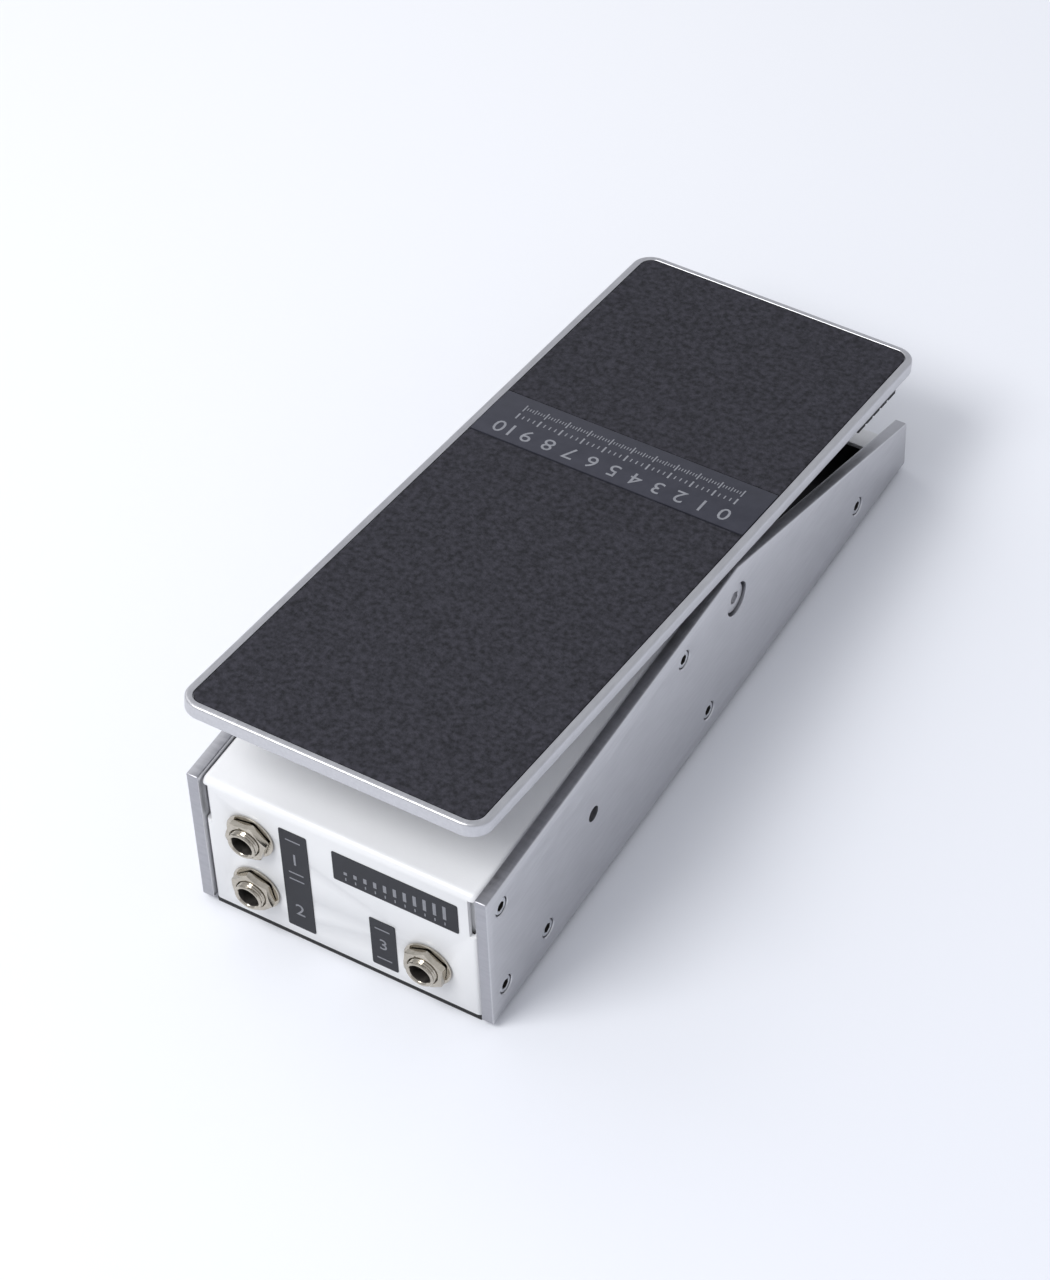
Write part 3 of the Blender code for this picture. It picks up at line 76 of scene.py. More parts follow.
# Turns of a body's own Z axis
ALONG_X = Matrix(((0, 0, 1, 0), (1, 0, 0, 0), (0, 1, 0, 0), (0, 0, 0, 1)))
ALONG_MINUS_X = Matrix(((0, 0, -1, 0), (-1, 0, 0, 0), (0, 1, 0, 0), (0, 0, 0, 1)))
ALONG_MINUS_Y = Matrix(((1, 0, 0, 0), (0, 0, -1, 0), (0, 1, 0, 0), (0, 0, 0, 1)))

# Side plates
HALF_WIDTH = 50.0
INNER_FACE = 46.0
PLATE_OUTLINE = [(0, 0), (0, 54.2), (145.5, 55.5), (258.2, 17.8), (258.2, 0)]
PLATE_EDGE = 0.45               # rounding of their edges
SCREW_PLACES = [(8, 45.4), (8, 10), (112.9, 46.3), (31.7, 9.5), (127.8, 9), (224.7, 10)]
COVER_SCREWS = SCREW_PLACES[:3]
REAR_SCREWS = SCREW_PLACES[5:]
PIVOT_PLACE = (145.1, 42.3)
ACCESS_PLACE = (58.8, 32.7)
ACCESS_RADIUS = 2.6
HEAD_SINK = 0.3                 # side screws' heads below the plates' faces
SIDE_LIP = 0.3                  # bevel round a side screw's counterbore
SIDE_SCREW = {"radius": 2.8, "height": 1.4, "shank": 1.3, "length": 6.2, "hex": 1.75, "depth": 1.2}
PIVOT_SINK = 0.9                # pivot screws' heads below the plates' faces
PIVOT_BORE = 5.7
PIVOT_LIP = 0.15
PIVOT_SCREW = {"radius": 5.0, "height": 1.5, "shank": 2.0, "length": 13.0, "hex": 2.3, "depth": 1.3}
HEAD_CURVE = [(0.45, 0), (0.2, 0.07), (0.06, 0.2), (0, 0.45)]   # inset and drop round a head's rim
HEAD_CHAMFER = 0.12             # under a head
SCREW_NECK = 0.6                # plain shank at each end of the thread
SCREW_PITCH = 0.5
SCREW_THREAD = 0.2
SCREW_POINT = 0.3
SOCKET_MOUTH = [(0.45, 0.3), (0.05, -0.12)]     # beyond the hexagon, above the head
SOCKET_SHADE = 0.2              # a socket is dark from this far below the head's top
SCREW_TURN = 17                 # degrees; the side screws come to rest at unlike angles
SCREW_TURN_STEP = 23

# Folded covers
SHEET = 1.5
COVER_HALF = 45.7
FLANGE_FACE = COVER_HALF - SHEET
FOLD_RADIUS = 2.6               # of the fold between panel and deck
SIDE_FOLD_RADIUS = 1.6          # of the folds to the side flanges
FOLD_BAND = 3                   # how far from panel and deck the side folds are picked
FOLD_SEGMENTS = 8
SHEET_EDGE = 0.15               # rounding of the sheet's cut edges
PANEL_FRONT = 0.8
PANEL_LOW = 0.3
COVER_LOW = 2.0
DECK_HEIGHT = 53.7
DECK_END = 118.0
DECK_FLANGE_DEPTH = 14.0
PANEL_FLANGE_END = 16.0
NOTCH_WIDTH = 2.4
NOTCH_LOW = 35.7
NOTCH_HIGH = 51.7
TAB_REACH = 3.2                 # turned-in tabs, inwards from the flanges' faces
TAB_SEAT = 0.05
TAB_BACK = 1.3                  # behind the panel
TAB_THICKNESS = 1.2
TAB_BELOW = 1.5                 # past the notch's ends
TAB_ABOVE = 0.4
TAB_EDGE = 0.2
REAR_START = 212.0
REAR_END = 257.5
REAR_FLANGE_HEIGHT = 16.0
REAR_LIP_START = 246.0
REAR_DROP = 8.0
REAR_FOLD = 1.6                 # of the corner between heel wall and lip
REAR_FOLD_BULGE = 0.12
REAR_NOTCH = (2.2, 5.0)         # relief beside the rear lip's corner, across and along
REAR_NOTCH_DROP = 4
# the toe strip sits nearly flush with the panel: its black front also stands for the shade in the gap under the
# panel
FOOT_STRIPS = [("toe_foot_strip", 1.0, 13.5), ("heel_foot_strip", 244.7, 256.7)]
FOOT_HALF = 45.4
FOOT_LOW = -2.0
FOOT_EDGE = 0.35

# Jacks: name, x, z and the nut's turn in degrees
JACKS = [
    ("upper_left", -29.8, 37.8, 12),
    ("lower_left", -29.8, 14.4, 41),
    ("right", 28.7, 15.0, 25),
]
SOCKET_RADIUS = 3.3
SOCKET_LIP = [(0, 0.7), (0.12, 0.4), (0.55, 0)]     # beyond the socket, below the bushing's tip
BUSHING_RADIUS = 4.7
TIP_EDGE = [(0.3, 0), (0.05, 0.25)]     # inset and drop round the bushing's tip
BUSHING_TIP = 4.6               # in front of the plates' toe edge
THREAD_DEPTH = 0.28
THREAD_PITCH = 0.75
THREADS = 5
FIRST_CREST = 0.55              # below the tip
THREAD_END = 0.4                # in front of the jack's flange
JACK_FLANGE_RADIUS = 6.4
JACK_FLANGE_THICKNESS = 1
WASHER_RADIUS = 7.9
WASHER_THICKNESS = 0.6
WASHER_FRONT_EDGE = 0.15
WASHER_BACK_EDGE = 0.1
NUT_RADIUS = 7.3
NUT_THICKNESS = 2.4
NUT_CHAMFER = 0.55
NUT_BORE_CHAMFER = 0.2
NUT_CONE = 0.05                 # the turned blank beyond the nut's corners
NUT_BACK_EDGE = 0.3

# Treadle
TREADLE_TOE = -150.53
TREADLE_HEEL = 118.67
TREADLE_UNDER = 15.1
TREADLE_TOP = 19.9
TREADLE_CORNER = 7.0
TREADLE_ROUND = 0.8             # rounding of its upper and lower edges
ROUND_STEPS = 4
YOKE_HOLE_X = 22
YOKE_HOLE_RADIUS = 1.6
YOKE_HOLE_DEPTH = 3.1
RECESS_HALF = 47.5
RECESS_TOE = -148.33
RECESS_HEEL = 116.47
RECESS_CORNER = 4.3
RECESS_FLOOR = 18.9
RECESS_LIP = 0.12               # bevel round the recess
PAD_HALF = 47.2
PAD_CORNER = 4.0
PAD_LOW = 19.2
PAD_TOP = 20.05
PAD_STEP = 1.0                  # spacing of the pads' surface points
PAD_EDGE_DROP = 0.22            # worn-down edge below the top
GRIT_HEIGHT = 0.14
FINE_GRIT = (0.83, 0.35, 3)     # noise cells per millimetre, share of the height, level
COARSE_GRIT = (0.31, 0.15, 9)
TOE_PAD = (-148.03, 4.47)
STRIP = (4.97, 27.97)
STRIP_TOP = PAD_TOP - 0.02
STRIP_EDGE = 0.15
HEEL_PAD = (28.47, 116.17)
BUMPER_HALF = 45.4
BUMPER = (88.0, 114.0)
BUMPER_LOW = 5.3
BUMPER_TOP = 14.8
BUMPER_EDGE = 0.4
GROOVES = (93, 98, 103, 108)
GROOVE_WIDTH = 1
GROOVE_DEPTH = 0.6

# Printed marks: generic digits and scale ticks only
MARK_HEIGHT = 0.05
STRIP_DIGIT = 8.2               # size of the digits
SCALE_START = 38                # x of the scale's 0
SCALE_STEP = 7.6
DIGIT_ROW = 10.8                # t of the digits and the two rows of ticks
NEAR_ROW = 18.0
FAR_ROW = 22.6
NEAR_PARTS = 4                  # parts of a step between two ticks
FAR_PARTS = 8
NEAR_TICK = (0.55, 3.0)         # width and length at each digit
FAR_TICK = (0.4, 3.4)
NEAR_PART_TICK = (0.35, 1.6)
FAR_PART_TICK = (0.28, 1.3)
FAR_HALF_TICK = (0.28, 2.2)

# Labels on the jack panel: left, right, low and high edges
LABELS = {
    "left": (-19.7, -10.3, 3.8, 47.3),
    "upper": (-1.8, 39.9, 35.0, 47.3),
    "right": (9.2, 17.9, 3.3, 24.2),
}
LABEL_THICKNESS = 0.25
LABEL_CORNER = 0.6
LABEL_CORNER_STEPS = 5
LABEL_EDGE = 0.06
LEFT_LABEL_X = -15
RIGHT_LABEL_X = 13.5
LABEL_DIGITS = [("1", 7.0, LEFT_LABEL_X, 35), ("2", 7.0, LEFT_LABEL_X, 12), ("3", 6.5, RIGHT_LABEL_X, 13.5)]
LABEL_LINES = [(LEFT_LABEL_X, 26), (LEFT_LABEL_X, 29), (LEFT_LABEL_X, 43.5),
               (RIGHT_LABEL_X, 7.0), (RIGHT_LABEL_X, 20.5)]
LABEL_LINE = (5.0, 0.5)         # width and height
METER_BARS = 11                 # bars that grow to the right, a dot under each
METER_Z = 41.4
METER_START = 2.5
METER_STEP = 3.3
METER_LOW = -2.4
BAR_WIDTH = 1.1
BAR_FIRST = 1.2
BAR_GROWTH = 0.45
METER_DOT = (0.4, 1.2)
METER_DOT_DROP = -4.3

# Camera, floor and light
CAMERA_AZIMUTH = 32.65 * DEG
CAMERA_ELEVATION = 47.70 * DEG
CAMERA_ROLL = -2.78 * DEG
CAMERA_PLACE = (446.35, -591.89, 945.68)
CAMERA_LENS = 115.79
SENSOR_WIDTH = 36
CAMERA_FAR = 20
FLOOR_SIZE = 6
FLOOR_SHADE_SPAN = (-0.25, 0.35)      # x from which and to which the floor turns greyer, painted shade for the light falling off towards +X
# painted light and shade on the floor: its colour at the lit left and at the shadier right
FLOOR_LIT_TONE = (0.87, 0.88, 0.905, 1)
FLOOR_SHADED_TONE = (0.82, 0.84, 0.90, 1)
FLOOR_THROWN = (0.62, 0.63, 0.65, 1)    # what other surfaces see of it
WORLD_COLOUR = (0.92, 0.94, 1, 1)
WORLD_STRENGTH = 0.64
LAMPS = [                       # name, place, size, power
    ("front", (-0.5, -0.9, 1.4), (0.75, 0.75), 17),
    ("key", (-1.3, 0.3, 1.1), (1.2, 1.2), 4),
]


# Meshes, in millimetres

def mesh_from(points, faces):
    mesh = bpy.data.meshes.new("piece")
    mesh.from_pydata([tuple(point) for point in points], [], faces)
    mesh.validate()
    return mesh


def mesh_of(bm):
    mesh = bpy.data.meshes.new("piece")
    bmesh.ops.recalc_face_normals(bm, faces=bm.faces)
    bm.to_mesh(mesh)
    bm.free()
    return mesh


def moved(mesh, matrix):
    copy = mesh.copy()
    copy.transform(matrix)
    return copy


def at(x, y, z):
    return Matrix.Translation((x, y, z))


def turned(profile, sides=ROUND_SIDES, ring=False):
    """A body turned round Z from (radius, height) points down its outer side; a ring has a bore."""
    bm = bmesh.new()
    rows = []
    for radius, height in profile:
        if radius == 0:
            rows.append([bm.verts.new((0, 0, height))])
            continue
        rows.append([bm.verts.new((radius * math.cos(step * 2 * math.pi / sides),
                                   radius * math.sin(step * 2 * math.pi / sides), height))
                     for step in range(sides)])
    pairs = list(zip(rows, rows[1:]))
    if ring:
        pairs.append((rows[-1], rows[0]))
    for upper, lower in pairs:
        for step in range(sides):
            after = (step + 1) % sides
            corners = [upper[step % len(upper)], lower[step % len(lower)],
                       lower[after % len(lower)], upper[after % len(upper)]]
            unique = list(dict.fromkeys(corners))
            if len(unique) > 2:
                bm.faces.new(unique)
    return mesh_of(bm)


def prism(outline, low, high):
    """The outline in (x, y) from low to high in z."""
    count = len(outline)
    points = [(x, y, low) for x, y in outline] + [(x, y, high) for x, y in outline]
    faces = [tuple(reversed(range(count))), tuple(range(count, 2 * count))]
    faces += [(step, (step + 1) % count, count + (step + 1) % count, count + step)
              for step in range(count)]
    bm = bmesh.new()
    bm.from_mesh(mesh_from(points, faces))
    return mesh_of(bm)


def polygon(radius, sides, turn=0.0):
    return [(radius * math.cos(turn + step * 2 * math.pi / sides),
             radius * math.sin(turn + step * 2 * math.pi / sides)) for step in range(sides)]


def box(low, high):
    (x0, y0, z0), (x1, y1, z1) = low, high
    return prism([(x0, y0), (x1, y0), (x1, y1), (x0, y1)], z0, z1)


def folded_box(low, high, *folds):
    """A box with edges rounded as folded sheet is: picked(middle) names them, each with a radius."""
    bm = bmesh.new()
    bm.from_mesh(box(low, high))
    for picked, radius in folds:
        edges = [edge for edge in bm.edges if picked((edge.verts[0].co + edge.verts[1].co) / 2)]
        bmesh.ops.bevel(bm, geom=edges, offset=radius, segments=FOLD_SEGMENTS, profile=0.5,
                        affect="EDGES")
    return mesh_of(bm)


def joined(meshes):
    bm = bmesh.new()
    for mesh in meshes:
        bm.from_mesh(mesh)
    return mesh_of(bm)


def with_modifiers(mesh, prepare):
    """The mesh after the modifiers that prepare(object) adds."""
    holder = bpy.data.objects.new("holder", mesh)
    bpy.context.scene.collection.objects.link(holder)
    extra = prepare(holder)
    bpy.context.view_layer.update()
    graph = bpy.context.evaluated_depsgraph_get()
    result = bpy.data.meshes.new_from_object(holder.evaluated_get(graph))
    for item in (holder, extra):
        if item:
            bpy.data.objects.remove(item)
    return result


def combined(mesh, tool_mesh, operation="DIFFERENCE"):
    def prepare(holder):
        tool = bpy.data.objects.new("tool", tool_mesh)
        bpy.context.scene.collection.objects.link(tool)
        boolean = holder.modifiers.new("cut", "BOOLEAN")
        boolean.operation = operation
        boolean.solver = "EXACT"
        boolean.object = tool
        return tool
    return with_modifiers(mesh, prepare)


def rounded_edges(mesh, width, segments=2, angle=50):
    def prepare(holder):
        bevel = holder.modifiers.new("edges", "BEVEL")
        bevel.width = width
        bevel.segments = segments
        bevel.limit_method = "ANGLE"
        bevel.angle_limit = angle * DEG
        return None
    return with_modifiers(mesh, prepare)


def rounded_outline(half, low, high, low_corner, high_corner, steps=10):
    """A rectangle centred on x, from low to high, with a corner radius at each end."""
    outline = []
    for x_side, end, start in ((1, -1, -1), (1, 1, 0), (-1, 1, 1), (-1, -1, 2)):
        radius = low_corner if end < 0 else high_corner
        edge = low if end < 0 else high
        for step in range(steps + 1):
            angle = (start + step / steps) * QUARTER_TURN
            outline.append((x_side * (half - radius) + radius * math.cos(angle),
                            edge - end * radius + radius * math.sin(angle)))
    return outline


def loft(rings, heights):
    """A closed body through rings of equal count, each at its own height."""
    count = len(rings[0])
    points = [(x, y, height) for ring, height in zip(rings, heights) for x, y in ring]
    faces = [tuple(reversed(range(count))), tuple(range(len(points) - count, len(points)))]
    for row in range(len(rings) - 1):
        for step in range(count):
            after = (step + 1) % count
            faces.append((row * count + step, row * count + after,
                          (row + 1) * count + after, (row + 1) * count + step))
    bm = bmesh.new()
    bm.from_mesh(mesh_from(points, faces))
    return mesh_of(bm)


def piece(name, mesh, place, look, body, *replaced):
    """One named piece of the scene, in the finish it is given."""
    mesh = moved(mesh, place)
    mesh.materials.clear()
    mesh.materials.append(look)
    mesh.shade_smooth()
    mesh.set_sharp_from_angle(angle=SHARP)
    part = bpy.data.objects.new(name, mesh)
    bpy.context.scene.collection.objects.link(part)
    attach(part, body)
    if replaced:
        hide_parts(*replaced)
    return part


# Finishes

def finish(name, colour, second, scale, roughness, metallic=0.0, bump=0.0, bump_scale=0.0,
           stretch=(1, 1, 1), coat=0.0, specular=0.5):
    """A procedural finish: noise between two colours, a range of roughness and a fine relief.

    Scales are cells per metre; bump is the relief's height in metres.
    """
    look = bpy.data.materials.new(name)
    look.use_nodes = True
    nodes = look.node_tree.nodes
    link = look.node_tree.links.new
    shader = nodes["Principled BSDF"]
    place = nodes.new("ShaderNodeTexCoord")
    mapping = nodes.new("ShaderNodeMapping")
    mapping.inputs["Scale"].default_value = stretch
    link(place.outputs["Object"], mapping.inputs["Vector"])
    patches = nodes.new("ShaderNodeTexNoise")
    patches.inputs["Scale"].default_value = scale
    patches.inputs["Detail"].default_value = 5
    link(mapping.outputs["Vector"], patches.inputs["Vector"])
    ramp = nodes.new("ShaderNodeValToRGB")
    ramp.color_ramp.elements[0].position = 0.32
    ramp.color_ramp.elements[0].color = (*second, 1)
    ramp.color_ramp.elements[1].position = 0.68
    ramp.color_ramp.elements[1].color = (*colour, 1)
    link(patches.outputs["Fac"], ramp.inputs["Fac"])
    link(ramp.outputs["Color"], shader.inputs["Base Color"])
    spread = nodes.new("ShaderNodeMapRange")
    spread.inputs["From Min"].default_value = 0.3
    spread.inputs["From Max"].default_value = 0.7
    spread.inputs["To Min"].default_value = roughness[0]
    spread.inputs["To Max"].default_value = roughness[1]
    link(patches.outputs["Fac"], spread.inputs["Value"])
    link(spread.outputs["Result"], shader.inputs["Roughness"])
    shader.inputs["Metallic"].default_value = metallic
    shader.inputs["Coat Weight"].default_value = coat
    shader.inputs["Specular IOR Level"].default_value = specular
    if bump:
        grain = nodes.new("ShaderNodeTexNoise")
        grain.inputs["Scale"].default_value = bump_scale
        grain.inputs["Detail"].default_value = 3
        link(mapping.outputs["Vector"], grain.inputs["Vector"])
        relief = nodes.new("ShaderNodeBump")
        relief.inputs["Distance"].default_value = bump
        link(grain.outputs["Fac"], relief.inputs["Height"])
        link(relief.outputs["Normal"], shader.inputs["Normal"])
    return look


SLOTS = {
    "satin_aluminium": finish("satin_aluminium", (0.61, 0.61, 0.63), (0.55, 0.55, 0.57), 900,
                              (0.33, 0.42), 1.0, 0.00003, 5000, (1, 0.12, 1)),
    "white_paint": finish("white_paint", (0.86, 0.865, 0.875), (0.845, 0.85, 0.86), 60,
                          (0.34, 0.37), 0.0, 0.00002, 1400, coat=0.1),
    "dark_steel": finish("dark_steel", (0.035, 0.035, 0.04), (0.022, 0.022, 0.026), 400,
                         (0.42, 0.55), 0.3, 0.00002, 3000),
    "zinc_steel": finish("zinc_steel", (0.62, 0.63, 0.65), (0.50, 0.51, 0.53), 700,
                         (0.26, 0.42), 1.0, 0.00002, 4000),
    "black_screw": finish("black_screw", (0.05, 0.05, 0.055), (0.03, 0.03, 0.034), 800,
                          (0.35, 0.5), 0.6, 0.00001, 4000),
    "nickel": finish("nickel", (0.54, 0.50, 0.43), (0.43, 0.395, 0.335), 600,
                     (0.10, 0.20), 1.0, 0.00001, 3000),
    "brass": finish("brass", (0.78, 0.60, 0.28), (0.66, 0.48, 0.20), 500,
                    (0.22, 0.36), 1.0, 0.00001, 3500),
    "rubber": finish("rubber", (0.022, 0.022, 0.024), (0.014, 0.014, 0.016), 500,
                     (0.72, 0.88), 0.0, 0.00006, 2600),
    "grit": finish("grit", (0.047, 0.046, 0.058), (0.015, 0.015, 0.019), 560,
                   (0.80, 0.98), 0.0, 0.0004, 1300, specular=0.25),
    "smooth_strip": finish("smooth_strip", (0.044, 0.045, 0.060), (0.034, 0.035, 0.048), 250,
                           (0.48, 0.56), 0.0, 0.00002, 2500, specular=0.3),
    "nylon": finish("nylon", (0.80, 0.79, 0.74), (0.74, 0.73, 0.67), 300,
                    (0.38, 0.5), 0.0, 0.00002, 2500),
    "black_plastic": finish("black_plastic", (0.030, 0.030, 0.033), (0.022, 0.022, 0.025), 400,
                            (0.38, 0.5), 0.0, 0.00002, 3500),
    "blue_plastic": finish("blue_plastic", (0.04, 0.12, 0.36), (0.03, 0.09, 0.29), 300,
                           (0.25, 0.35), 0.0, 0.00001, 3000),
    "red_wire": finish("red_wire", (0.50, 0.03, 0.03), (0.40, 0.02, 0.02), 300,
                       (0.32, 0.42), 0.0, 0.00001, 3000),
    "grey_wire": finish("grey_wire", (0.21, 0.21, 0.22), (0.16, 0.16, 0.17), 300,
                        (0.35, 0.45), 0.0, 0.00001, 3000),
}
label_look = finish("label_film", (0.020, 0.021, 0.027), (0.014, 0.015, 0.020), 200,
                    (0.42, 0.5), 0.0, 0.00001, 2500, specular=0.3)
# painted shade: a dark finish for the insides of screw sockets and jack bores, standing for the shade that falls
# in them
bore_shade_look = finish("painted_bore_shade", (0.06, 0.055, 0.05), (0.03, 0.027, 0.025), 500, (0.4, 0.6), 0.6)
print_look = finish("label_print", (0.28, 0.285, 0.31), (0.21, 0.215, 0.24), 900, (0.45, 0.6))
cut_look = finish("cut_aluminium", (0.45, 0.45, 0.475), (0.39, 0.39, 0.415), 900, (0.34, 0.46), 1.0,
                  0.00004, 4000, (0.2, 1, 1))

for part in frame["record"]["subparts"]:
    cad = frame["nodes"][part["node"]]
    cad.data.materials.clear()
    cad.data.materials.append(SLOTS[part["material_slot"]])


def darken_bore(part, place, radius, high):
    """Painted shade: a dark finish for the faces within a radius of an axis along Z, below a height, standing for
    the shade inside a socket or bore.
    """
    part.data.materials.append(bore_shade_look)
    back = (CHASSIS @ place).inverted()
    for face in part.data.polygons:
        centre = back @ face.center
        if math.hypot(centre.x, centre.y) < radius and centre.z < high:
            face.material_index = 1


# Side plates and their screws

def round_hole(radius, depth, through, lip):
    """A counterbore along Z: a bevelled mouth, its head room, its shank room to the inner face."""
    seat = HALF_WIDTH - depth
    return turned([(0, HALF_WIDTH + BEYOND), (radius + lip + BEYOND, HALF_WIDTH + BEYOND),
                   (radius, HALF_WIDTH - lip), (radius, seat), (through, seat),
                   (through, INNER_FACE - BEYOND), (0, INNER_FACE - BEYOND)])


def side_plate(name, side):
    """A thick plate with its counterbores; its edges and bores have the look of a cut."""
    along = ALONG_X if side > 0 else ALONG_MINUS_X
    low, high = sorted((side * INNER_FACE, side * HALF_WIDTH))
    plate = moved(prism(PLATE_OUTLINE, low, high), ALONG_X)
    plate = rounded_edges(plate, PLATE_EDGE, 3)
    side_hole = round_hole(SIDE_SCREW["radius"] + GAP, HEAD_SINK + SIDE_SCREW["height"] + GAP,
                           SIDE_SCREW["shank"] + GAP, SIDE_LIP)
    pivot_hole = round_hole(PIVOT_BORE, PIVOT_SINK + PIVOT_SCREW["height"] + GAP,
                            PIVOT_SCREW["shank"] + GAP, PIVOT_LIP)
    tools = [moved(side_hole, at(0, y, z) @ along) for y, z in SCREW_PLACES]
    tools.append(moved(pivot_hole, at(0, *PIVOT_PLACE) @ along))
    if side > 0:
        access = turned([(0, HALF_WIDTH + BEYOND), (ACCESS_RADIUS, HALF_WIDTH + BEYOND),
                         (ACCESS_RADIUS, INNER_FACE - BEYOND), (0, INNER_FACE - BEYOND)])
        tools.append(moved(access, at(0, *ACCESS_PLACE) @ along))
    plate = combined(plate, joined(tools))
    plate = piece(name + "_dressed", plate, CHASSIS, SLOTS["satin_aluminium"], "chassis", name)
    plate.data.materials.append(cut_look)
    for face in plate.data.polygons:
        if abs(face.normal.x) < 0.5:
            face.material_index = 1


def socket_screw(radius, height, shank, length, hex, depth):
    """A screw along Z with its seat at 0: a rounded head with a hexagon socket, a threaded shank."""
    profile = [(0, height)] + [(radius - inset, height - drop) for inset, drop in HEAD_CURVE]
    profile += [(radius, HEAD_CHAMFER), (radius - HEAD_CHAMFER, 0), (shank, 0), (shank, -SCREW_NECK)]
    turns = int((length - 2 * SCREW_NECK) / SCREW_PITCH)
    for turn in range(turns):
        level = -SCREW_NECK - turn * SCREW_PITCH
        profile += [(shank - SCREW_THREAD, level - SCREW_PITCH / 2), (shank, level - SCREW_PITCH)]
    profile += [(shank - SCREW_POINT, -length), (0, -length)]
    screw = turned(profile, SMALL_SIDES)
    mouth = [(hex + beyond, height + above) for beyond, above in SOCKET_MOUTH]
    rim = turned([(0, mouth[0][1])] + mouth + [(0, mouth[1][1])], SMALL_SIDES)
    socket = prism(polygon(hex, 6, 30 * DEG), height - depth, height + BEYOND)
    screw = combined(screw, rim)
    return combined(screw, socket)


def side_fasteners(side_name, side):
    along = ALONG_X if side > 0 else ALONG_MINUS_X
    for number, (y, z) in enumerate(SCREW_PLACES, 1):
        turn = Matrix.Rotation((SCREW_TURN + SCREW_TURN_STEP * number) * DEG, 4, "Z")
        seat = HALF_WIDTH - HEAD_SINK - SIDE_SCREW["height"]
        screw = moved(socket_screw(**SIDE_SCREW), at(0, y, z) @ along @ at(0, 0, seat) @ turn)
        name = f"{side_name}_side_screw_{number}"
        screw = piece(name + "_dressed", screw, CHASSIS, SLOTS["zinc_steel"], "chassis", name)
        # painted shade: the socket's faces from SOCKET_SHADE below the head's top are painted dark
        darken_bore(screw, at(0, y, z) @ along, SIDE_SCREW["hex"],
                    HALF_WIDTH - HEAD_SINK - SOCKET_SHADE)
    seat = HALF_WIDTH - PIVOT_SINK - PIVOT_SCREW["height"]
    screw = moved(socket_screw(**PIVOT_SCREW), at(0, *PIVOT_PLACE) @ along @ at(0, 0, seat))
    name = side_name + "_pivot_screw"
    piece(name + "_dressed", screw, CHASSIS, SLOTS["satin_aluminium"], "chassis", name)


# Folded covers

def flange_tool(places):
    radius = SIDE_SCREW["shank"] + GAP
    hole = turned([(0, INNER_FACE + BEYOND), (radius, INNER_FACE + BEYOND),
                   (radius, FLANGE_FACE - SHEET), (0, FLANGE_FACE - SHEET)], SMALL_SIDES)
    return joined([moved(hole, at(0, y, z) @ along) for y, z in places
                   for along in (ALONG_X, ALONG_MINUS_X)])


def front_cover():
    """Jack panel, deck and side flanges folded from one sheet."""
    def folds(side_face, front, top, inset):
        def front_fold(middle):
            return middle.y < front + PICK and middle.z > top - PICK

        def side_folds(middle):
            near = middle.y < front + FOLD_BAND or middle.z > top - FOLD_BAND
            return abs(middle.x) > side_face - PICK and near

        return (front_fold, FOLD_RADIUS - inset), (side_folds, SIDE_FOLD_RADIUS - inset)

    back = PANEL_FRONT + SHEET
    under = DECK_HEIGHT - SHEET
    cover = folded_box((-COVER_HALF, PANEL_FRONT, PANEL_LOW), (COVER_HALF, DECK_END, DECK_HEIGHT),
                       *folds(COVER_HALF, PANEL_FRONT, DECK_HEIGHT, 0))
    hollow = folded_box((-FLANGE_FACE, back, -OPEN_SIDE), (FLANGE_FACE, DECK_END + OPEN_SIDE, under),
                        *folds(FLANGE_FACE, back, under, SHEET))
    cover = combined(cover, hollow)
    flange_low = DECK_HEIGHT - DECK_FLANGE_DEPTH
    cover = combined(cover, box((-HALF_WIDTH, PANEL_FLANGE_END, -OPEN_SIDE),
                                (HALF_WIDTH, DECK_END + OPEN_SIDE, flange_low)))
    cover = combined(cover, box((-HALF_WIDTH, back, -OPEN_SIDE),
                                (HALF_WIDTH, DECK_END + OPEN_SIDE, COVER_LOW)))
    notches = []
    for side in (-1, 1):
        low, high = sorted((side * (COVER_HALF - NOTCH_WIDTH), side * (COVER_HALF + BEYOND)))
        notches.append(box((low, -BEYOND, NOTCH_LOW),
                           (high, PANEL_FRONT + FOLD_RADIUS, NOTCH_HIGH)))
    cover = combined(cover, joined(notches))
    hole = turned([(0, BEYOND), (BUSHING_RADIUS + GAP, BEYOND),
                   (BUSHING_RADIUS + GAP, -back - BEYOND), (0, -back - BEYOND)])
    cover = combined(cover, joined([moved(hole, at(x, 0, z) @ ALONG_MINUS_Y)
                                    for _, x, z, _ in JACKS]))
    cover = combined(cover, flange_tool(COVER_SCREWS))
    cover = rounded_edges(cover, SHEET_EDGE)
    piece("front_cover_dressed", cover, CHASSIS, SLOTS["white_paint"], "chassis", "front_cover")


